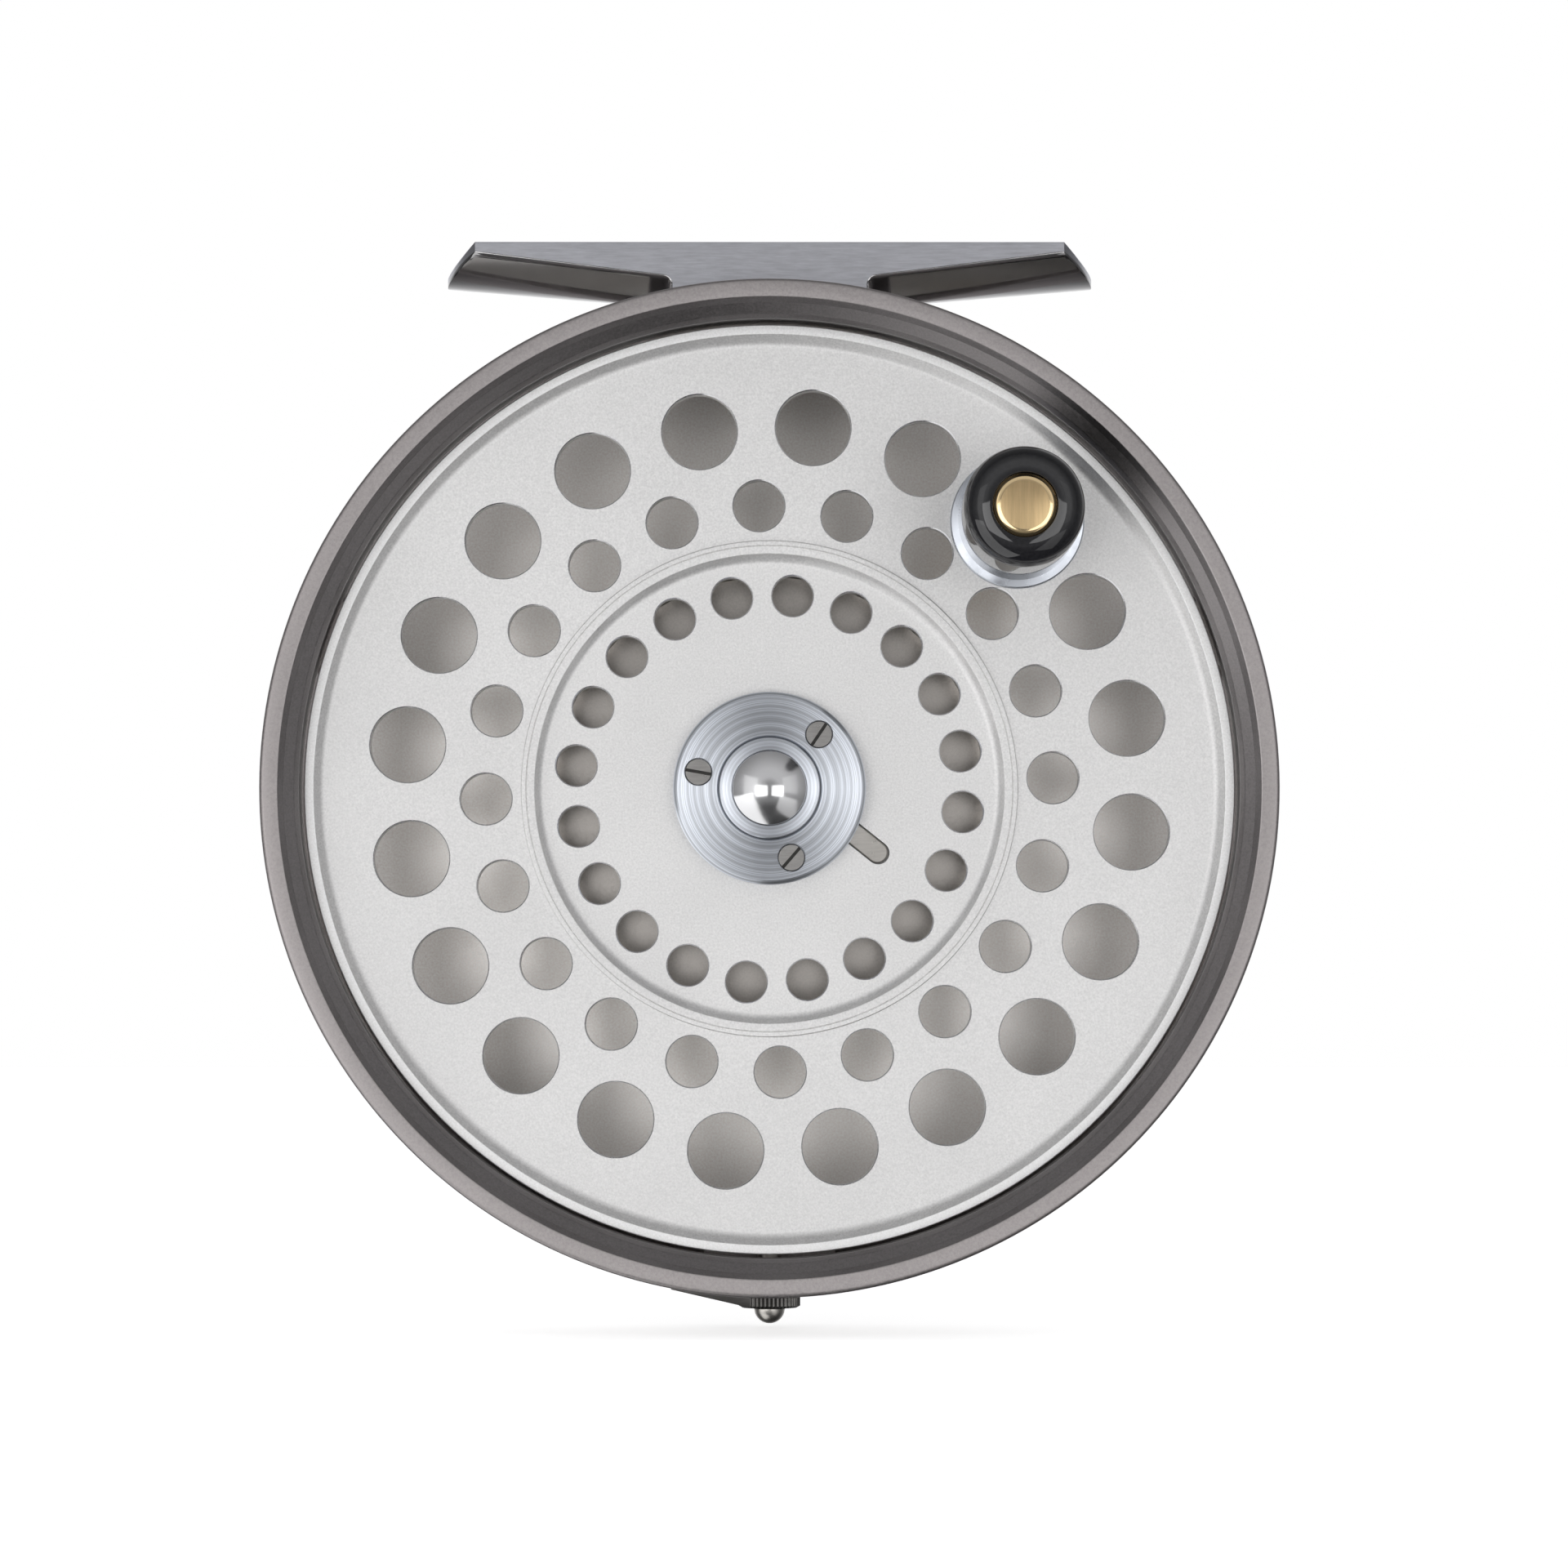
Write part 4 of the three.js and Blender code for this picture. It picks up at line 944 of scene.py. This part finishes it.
def build_hub():
    """The hub's turned cover, with a seat for each of its screws."""
    sides, chamfer, seat_floor = 160, 0.34, HUB_FRONT + 0.8
    face_from, face_to = HUB_BORE + 0.12, HUB_R - chamfer - 0.02
    places = [polar(HUB_SCREW_RING, angle) for angle, _ in HUB_SCREWS]
    seats = [circle(HUB_SCREW_HEAD + 0.07, 48, place) for place in places]
    s = Shell()
    s.patch(HUB_FRONT, circle(face_to, sides), [circle(face_from, sides), *seats])
    for seat in seats:
        s.wall(seat, [HUB_FRONT, seat_floor])
        s.patch(seat_floor, seat, [])
    s.turn([(face_from, HUB_FRONT), (HUB_BORE, HUB_FRONT + 0.12), (HUB_BORE, HUB_BACK)], sides)
    s.turn([(HUB_BORE, HUB_BACK), (HUB_R, HUB_BACK)], sides)
    edge = [
        (face_to, HUB_FRONT),
        (HUB_R - chamfer, HUB_FRONT),
        (HUB_R, HUB_FRONT + 0.25),
        (HUB_R, HUB_BACK),
    ]
    s.turn(edge, sides)
    finished(s, "hub_cover_disc", "hub_cover", [TURNED])
    for number, (place, (_, slot_angle)) in enumerate(zip(places, HUB_SCREWS), 1):
        build_hub_screw(number, place, slot_angle)


def build_hub_screw(number, place, slot_angle):
    """A countersunk screw. Its head is two half discs with a slot between, left dark inside."""
    node = f"hub_screw_{number}"
    top, end = low(node).y, high(node).y
    head_r, shank_r, bevel, sides = HUB_SCREW_HEAD, HUB_SCREW_SHANK, 0.06, 120
    floor, edge_r = top + 0.32, head_r - bevel
    corner = math.degrees(math.asin(HUB_SCREW_SLOT / 2 / edge_r))

    def at(points, y):
        return [(place[0] + x, y, place[1] + z) for x, z in points]

    s = Shell()
    for turn in (0, 180):
        flat = turned_by(arc(edge_r, corner, 180 - corner, 30), slot_angle + turn)
        rim = turned_by(arc(head_r, corner, 180 - corner, 30), slot_angle + turn)
        s.face(at(flat, top))
        s.bridge([at(flat, top), at(rim, top + bevel)], closed=False)
        s.bridge([at(rim, top + bevel), at(rim, floor)], closed=False)
        ends, rims = [flat[0], flat[-1]], [rim[0], rim[-1]]
        (a, b), (c, d), (e, f) = at(ends, top), at(rims, top + bevel), at(rims, floor)
        s.face([a, b, d, f, e, c], 1)
    s.patch(floor, circle(head_r, sides, place), [], 1)
    shank = floor + 0.15 + head_r - shank_r
    below = [(head_r, floor), (head_r, floor + 0.15), (shank_r, shank), (shank_r, end), (0, end)]
    s.turn(below, sides, place)
    finished(s, f"hub_slotted_screw_{number}", node, [SCREW_METAL, SLOT_SHADE], 30)


def build_front_bush():
    """The bush whose turned end shows round the spindle."""
    bore, r = BUSH_BORE, high("front_bush").x
    front, back = low("front_bush").y, high("front_bush").y
    ring = [
        (bore + 0.08, front), (r - 0.1, front, 0.02), (r, front + 0.1), (r, back), (bore, back),
        (bore, front + 0.08),
    ]
    turned_piece("front_bush_ring", "front_bush", [TURNED],
                 rounded(ring, True), sides=160, closed=True)


def build_spindle():
    """The spindle: a flanged shaft with the latch's groove, and a cone with a rounded crown."""
    tip, edge = low("spindle").y, low("front_bush").y + 0.02
    rear_r, groove_r, flange_r = SPINDLE_R - 0.05, 2.55, 6.2
    flange_back, flange_front = -4.72, -5.1
    shaft = [
        (0, 0), (rear_r - 0.2, 0), (rear_r, -0.2), (rear_r, flange_back),
        (flange_r, flange_back), (flange_r, flange_front), (SPINDLE_R, flange_front),
        (SPINDLE_R, POCKET_FLOOR), (groove_r, POCKET_FLOOR), (groove_r, DISH - 0.05),
        (SPINDLE_R, DISH - 0.05), (SPINDLE_R, edge + 0.06), (SPINDLE_R - 0.06, edge),
    ]
    crown_r, slope, steps = 1.8, 0.505, 9
    crown = []
    for i in range(steps, -1, -1):
        t = i / steps
        crown.append((crown_r * t, tip + slope * crown_r * t**2 / 2))
    turned_piece("spindle_shaft", "spindle", [STEEL], shaft + crown, sides=160,
                 smooth=40)


def build_arbor_disc():
    """The plain disc inside the arbor, which shows through the small holes."""
    front, back = low("arbor_disc").y, high("arbor_disc").y
    hole_r, r = 7.05, high("arbor_disc").x
    disc = [(hole_r, front), (r, front, 0.1), (r, back, 0.1), (hole_r, back)]
    turned_piece("arbor_inner_disc", "arbor_disc", [DISC_METAL], rounded(disc, True),
                 sides=ROUND, closed=True)


def build_rear_bush():
    front, back, r = low("rear_bush").y, high("rear_bush").y, high("front_bush").x
    sleeve = [(BUSH_BORE, front), (r, front), (r, back), (BUSH_BORE, back)]
    turned_piece("rear_bush_sleeve", "rear_bush", [BRONZE], sleeve, closed=True)


def build_latch():
    """The latch's flat ring and its tail, with eased edges."""
    front, back = low("latch_lever").y, high("latch_lever").y
    low_z, high_z = TAIL_OFFSET - TAIL_HALF, TAIL_OFFSET + TAIL_HALF
    r, centre = 4.9, (0.5, 0)
    upper = math.degrees(math.asin(high_z / r))
    lower = math.degrees(math.asin(low_z / r))
    outline = arc(TAIL_HALF, -90, 90, 20, (TAIL_END - TAIL_HALF, TAIL_OFFSET))
    outline += arc(r, upper, 360 + lower, 90, centre)
    outline = turned_by(outline, LATCH_ANGLE)
    window = turned_by(circle(3.5, 72, (0.85, 0)), LATCH_ANGLE)
    inset = shrink(outline, 0.1)
    s = Shell()
    s.patch(front, inset, [window])
    s.bridge([[(x, front, z) for x, z in inset], [(x, front + 0.1, z) for x, z in outline],
              [(x, back, z) for x, z in outline]])
    s.patch(back, outline, [window])
    s.wall(window, [front, back])
    finished(s, "latch_plate", "latch_lever", [NICKEL], 30)


def shrink(loop, distance):
    """The same outline moved inwards by a distance."""
    area = sum(loop[i - 1][0] * z - x * loop[i - 1][1] for i, (x, z) in enumerate(loop))
    sign = 1 if area > 0 else -1
    out = []
    for i, point in enumerate(loop):
        a = (Vector(point) - Vector(loop[i - 1])).normalized()
        b = (Vector(loop[(i + 1) % len(loop)]) - Vector(point)).normalized()
        along = (a + b).normalized()
        normal = Vector((-along.y, along.x)) * sign
        reach = distance / max(0.5, normal.dot(Vector((-a.y, a.x)) * sign))
        out.append((point[0] + normal.x * reach, point[1] + normal.y * reach))
    return out


def build_collar():
    front, base = low("handle_collar").y, high("handle_collar").y
    bore, r, top_r = PIN_HOLE_R, high("handle_collar").x - HANDLE.x, 5.05
    collar = [
        (bore, base), (r, base, 0.05), (r, base - 0.5, 0.08), (r - 0.12, base - 0.62, 0.05),
        (top_r, base - 0.72, 0.05), (top_r - 0.05, front, 0.1), (bore, front),
    ]
    turned_piece("handle_collar_ring", "handle_collar", [CHROME],
                 rounded(collar, True), tuple(HANDLE), 160, True)


def build_knob():
    """The knob, with a rounded shoulder and a recess for the pin's head."""
    base_r, top_r, shoulder_r, recess_r = high("handle_knob").x - HANDLE.x, 5.2, 2.38, 2.8
    bore, recess_floor = 1.68, KNOB_FRONT + 1.2
    about = (top_r - shoulder_r, KNOB_FRONT + shoulder_r)
    shoulder = arc(shoulder_r, 0, -90, 20, about)
    knob = [
        (bore, KNOB_BACK), (base_r - 0.3, KNOB_BACK, 0.1), (base_r, KNOB_BACK - 0.4, 0.3),
        *shoulder, (recess_r, KNOB_FRONT + 0.05), (recess_r, recess_floor), (bore, recess_floor),
    ]
    turned_piece("handle_grip", "handle_knob", [EBONITE], rounded(knob, True, 10),
                 tuple(HANDLE), 160, True, smooth=40)


def build_pin():
    """The pin with its domed head, whose edge is polished, and the nut behind the flange."""
    front, back = low("handle_pin").y, high("handle_pin").y
    shank_r, head_r = 1.6, 2.72
    pin = [
        (0, back), (shank_r - 0.2, back), (shank_r, back - 0.2), (shank_r, front + 0.9),
        (head_r, front + 0.9), (head_r, front + 0.3), (2.55, front + 0.13), (2.3, front + 0.04),
        (2.1, front), (0, front),
    ]
    turned_piece("handle_pin_head", "handle_pin", [BRASS, BRASS_EDGE], pin,
                 tuple(HANDLE), 128, marks=[0, 0, 0, 0, 0, 1, 1, 1, 0])
    front, back = low("handle_nut").y, high("handle_nut").y
    bore, r = PIN_HOLE_R, 2.9
    nut = [(bore, front), (r, front, 0.15), (r, back, 0.15), (bore, back)]
    turned_piece("handle_pin_nut", "handle_nut", [BRASS], rounded(nut, True),
                 tuple(HANDLE), 96, True)


# ------------------------------------------------------------ regulator


def build_regulator_nut():
    """The knurled nut: a ring of teeth between two bevels, round a bore along Z."""
    low_z, high_z = low("regulator_nut").z, high("regulator_nut").z
    r, bore_r = high("regulator_nut").x, 1.25
    knurls, per_knurl, depth = 42, 6, 0.16
    sides = knurls * per_knurl
    levels = [(0.42, high_z), (0.0, high_z - 0.16), (0.0, low_z + 0.2), (0.35, low_z)]
    rows = []
    for inset, z in levels:
        row = []
        for i in range(sides):
            wave = abs(math.sin(math.pi * (i % per_knurl) / per_knurl))
            deep = depth * (1 - wave) if inset == 0 else 0.0
            row.append((*polar(r - inset - deep, 360 * i / sides, (0, REGULATOR_Y)), z))
        rows.append(row)
    bore = circle(bore_r, sides, (0, REGULATOR_Y))
    bore_low, bore_high = [(*place, low_z) for place in bore], [(*place, high_z) for place in bore]
    s = Shell()
    s.bridge([bore_high, *rows, bore_low, bore_high])
    finished(s, "regulator_knurled_nut", "regulator_nut", [DARK_NICKEL], 25)


def build_regulator_stud():
    """The stud through the nut, with a round head below it."""
    top, bottom = high("regulator_stud").z, low("regulator_stud").z
    head_r, shank_r = 1.4, 1.1
    seat = bottom + head_r
    profile = [(0, top), (shank_r - 0.1, top), (shank_r, top - 0.1), (shank_r, seat),
               (head_r - 0.08, seat), (head_r, seat - 0.08)]
    profile += arc(head_r, 0, -90, 14, (0, seat))[1:-1]
    profile.append((0, bottom))
    rows = []
    for r, z in profile:
        ring = circle(r, 72, (0, REGULATOR_Y)) if r else [(0, REGULATOR_Y)]
        rows.append([(*place, z) for place in ring])
    s = Shell()
    s.bridge(rows)
    finished(s, "regulator_round_stud", "regulator_stud", [NICKEL])


# ------------------------------------------------------------ small inner pieces


def softened(node, name, material, width=0.06, cuts=(), rides=True):
    """The node's own shape with its edges eased. Cuts are planes that slice across it."""
    mesh = frame["nodes"][node].data.copy()
    bm = bmesh.new()
    bm.from_mesh(mesh)
    bmesh.ops.remove_doubles(bm, verts=bm.verts, dist=1e-7)
    flat = math.radians(1)
    bmesh.ops.dissolve_limit(bm, angle_limit=flat, verts=bm.verts, edges=bm.edges)
    sharp = [e for e in bm.edges if len(e.link_faces) == 2 and e.calc_face_angle(0) > 0.6]
    bmesh.ops.bevel(bm, geom=sharp, offset=width * MM, segments=2, profile=0.5, affect="EDGES",
                    clamp_overlap=True)
    for point, normal in cuts:
        everything = [*bm.verts, *bm.edges, *bm.faces]
        bmesh.ops.bisect_plane(bm, geom=everything, plane_co=point, plane_no=normal)
    bm.to_mesh(mesh)
    bm.free()
    return dressed(mesh, name, node, [material], 35, rides)


def build_check_spring():
    """The U-shaped strip. The regulator's pegs carry the ends of its legs along."""
    along = Vector((0, 0, 0))
    along.xz = polar(1, CHECK_ANGLE + 180)
    cuts = [(along * distance * MM, along) for distance in range(10)]
    strip = softened("check_spring", "check_strip_spring", SPRING, cuts=cuts,
                     rides=False)
    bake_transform(strip)


def build_pawl_post(side):
    node = f"pawl_post_{side}"
    front, rear_r, pivot_r, collar_r, head_r = low(node).y, 0.85, 1.0, 1.8, 1.5
    post = [
        (0, 0.04), (rear_r, 0.04), (pivot_r, -0.1), (pivot_r, -2.82), (collar_r, -2.82),
        (collar_r, -5.5), (pivot_r, -5.5), (pivot_r, -7.35), (head_r, -7.35),
        (head_r, front + 0.1), (head_r - 0.1, front), (0, front),
    ]
    turned_piece(f"pawl_post_pin_{side}", node, [STEEL], post,
                 tuple(middle(node).xz), 48)


def build_inner_pieces():
    softened("regulator_slide", "regulator_ramp_slide", DARK_NICKEL, 0.1)
    softened("regulator_arm", "regulator_swing_arm", NICKEL, 0.1)
    softened("click_gear", "check_gear_wheel", BRONZE, 0.05)
    for side in ("left", "right"):
        softened(f"check_pawl_{side}", f"click_pawl_{side}", NICKEL)
    build_check_spring()
    for side in ("left", "right"):
        softened(f"spring_screw_{side}", f"spring_cheese_screw_{side}", STEEL)
        softened(f"foot_screw_{side}", f"foot_slotted_screw_{side}", NICKEL)
    for number in (1, 2, 3):
        softened(f"gear_screw_{number}", f"gear_slotted_screw_{number}", NICKEL, 0.03)
    for side in ("left", "right"):
        build_pawl_post(side)
    build_latch_spring()


def build_latch_spring():
    """The coil behind the latch: turns of round wire, pressed against the slot's far end."""
    turns, per_turn, around = 5, 20, 8
    coil_r, wire_r, length = 0.36, 0.1, 2.5
    centre_y = middle("latch_spring").y
    steps = turns * per_turn
    rows = []
    for i in range(steps + 1):
        a = 2 * math.pi * i / per_turn
        row = []
        for k in range(around):
            b = 2 * math.pi * k / around
            out = coil_r + wire_r * math.cos(b)
            along = COIL_START + length * i / steps + wire_r * math.sin(b)
            (x, z), = turned_by([(along, out * math.sin(a))], LATCH_ANGLE)
            row.append((x, centre_y + out * math.cos(a), z))
        rows.append(row)
    s = Shell()
    s.bridge(rows)
    s.face(rows[0])
    s.face(rows[-1])
    coil = finished(s, "latch_coil_spring", "latch_spring", [SPRING], 60)
    (x, z), = turned_by([(1, 0)], LATCH_ANGLE)
    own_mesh(coil)


# ------------------------------------------------------------ stage, light and camera


def build_stage():
    """A white sheet under the reel. It gives off a little light, so it stays as pale as paper."""
    n = Nodes("pale_floor")
    cloud = n.noise(3.0, 3.0)
    white = n.colours(cloud, [(0.3, (0.95, 0.95, 0.95)), (0.7, (0.97, 0.97, 0.97))])
    n.set(
        Base_Color=white,
        Roughness=n.ramp(cloud, 0.6, 0.7),
        Emission_Color=white,
        Emission_Strength=0.72,
    )
    mesh = bpy.data.meshes.new("floor")
    half, z = 6.0, CAD_BOX[0].z - 0.0002
    corners = [(-half, -half, z), (half, -half, z), (half, half, z), (-half, half, z)]
    mesh.from_pydata(corners, [], [(0, 1, 2, 3)])
    floor = bpy.data.objects.new("floor", mesh)
    mesh.materials.append(n.material)
    bpy.context.scene.collection.objects.link(floor)
    floor.visible_glossy = False
    floor.visible_shadow = False


# How bright the studio is, from straight behind the reel to straight in front of it.
STUDIO = [
    (0.0, 1.0), (0.1, 0.75), (0.25, 0.22), (0.5, 0.12), (0.68, 0.35), (0.80, 0.6), (0.93, 0.6),
    (0.985, 0.28), (1.0, 0.22),
]


def build_world():
    """A studio: a bright front and back, darker sides, and dimmer below than above.

    The camera sees plain white in its place, as after a photograph's background is cleared."""
    world = bpy.data.worlds.new("studio")
    bpy.context.scene.world = world
    world.use_nodes = True
    n = Tree(world.node_tree)
    place = n.add("ShaderNodeTexCoord")
    parts = n.add("ShaderNodeSeparateXYZ")
    n.link(place.outputs["Generated"], parts.inputs[0])
    facing = n.ramp(parts.outputs["Y"], 0.0, 1.0, (1.0, -1.0))
    greys = [(position, (grey, grey, grey * 1.01)) for position, grey in STUDIO]
    studio = n.tree.nodes["Background"]
    n.link(n.colours(facing, greys), studio.inputs["Color"])
    n.link(n.ramp(parts.outputs["Z"], 0.14, 1.0, (-0.75, -0.05)), studio.inputs["Strength"])
    paper = n.add("ShaderNodeBackground")
    paper.inputs["Color"].default_value = (1.0, 1.0, 1.0, 1.0)
    seen = n.add("ShaderNodeLightPath")
    mix = n.add("ShaderNodeMixShader")
    n.link(seen.outputs["Is Camera Ray"], mix.inputs["Fac"])
    n.link(studio.outputs[0], mix.inputs[1])
    n.link(paper.outputs[0], mix.inputs[2])
    n.link(mix.outputs[0], n.tree.nodes["World Output"].inputs["Surface"])


def add_light(name, size, glow, location, target=(0, 0, 0)):
    """A flat soft light. Its glow is how bright its face looks, 1 being white."""
    light = bpy.data.lights.new(name, "AREA")
    light.shape = "RECTANGLE"
    light.size, light.size_y = size
    light.energy = glow * math.pi * size[0] * size[1]
    lamp = bpy.data.objects.new(name, light)
    lamp.location = location
    lamp.rotation_euler = (Vector(target) - Vector(location)).to_track_quat("-Z", "Y").to_euler()
    bpy.context.scene.collection.objects.link(lamp)


def build_lights():
    add_light("left_panel", (0.3, 0.5), 0.35, (-0.46, -0.46, 0.06))
    add_light("right_panel", (0.3, 0.45), 0.15, (0.5, -0.45, 0.1))
    add_light("low_left_key", (0.45, 0.8), 1.1, (-0.377, -0.205, -0.419))
    add_light("low_right_panel", (0.35, 0.35), 0.45, (0.36, -0.37, -0.36))
    add_light("front_left_panel", (0.73, 0.65), 1.85, (-0.48, -1.2, -0.15))
    add_light("front_right_panel", (0.73, 0.65), 1.55, (0.49, -1.2, -0.15))


def build_camera():
    """In front of the handle side, a little below the spindle and tilted up."""
    camera = bpy.data.cameras.new("camera")
    camera.sensor_width = 36.0
    camera.lens = 134.66
    eye = bpy.data.objects.new("camera", camera)
    eye.location = (0.00012, -0.538, -0.0225)
    eye.rotation_euler = (math.radians(90 + 2.547), 0, math.radians(-0.128))
    camera.clip_start = 0.01
    bpy.context.scene.collection.objects.link(eye)
    bpy.context.scene.camera = eye
    bpy.context.scene.view_settings.view_transform = "Standard"


build_camera()
build_stage()
build_world()
build_lights()
build_spool()
build_frame()
build_foot()
build_hub()
build_front_bush()
build_spindle()
build_arbor_disc()
build_rear_bush()
build_latch()
build_collar()
build_knob()
build_pin()
build_regulator_nut()
build_regulator_stud()
build_inner_pieces()
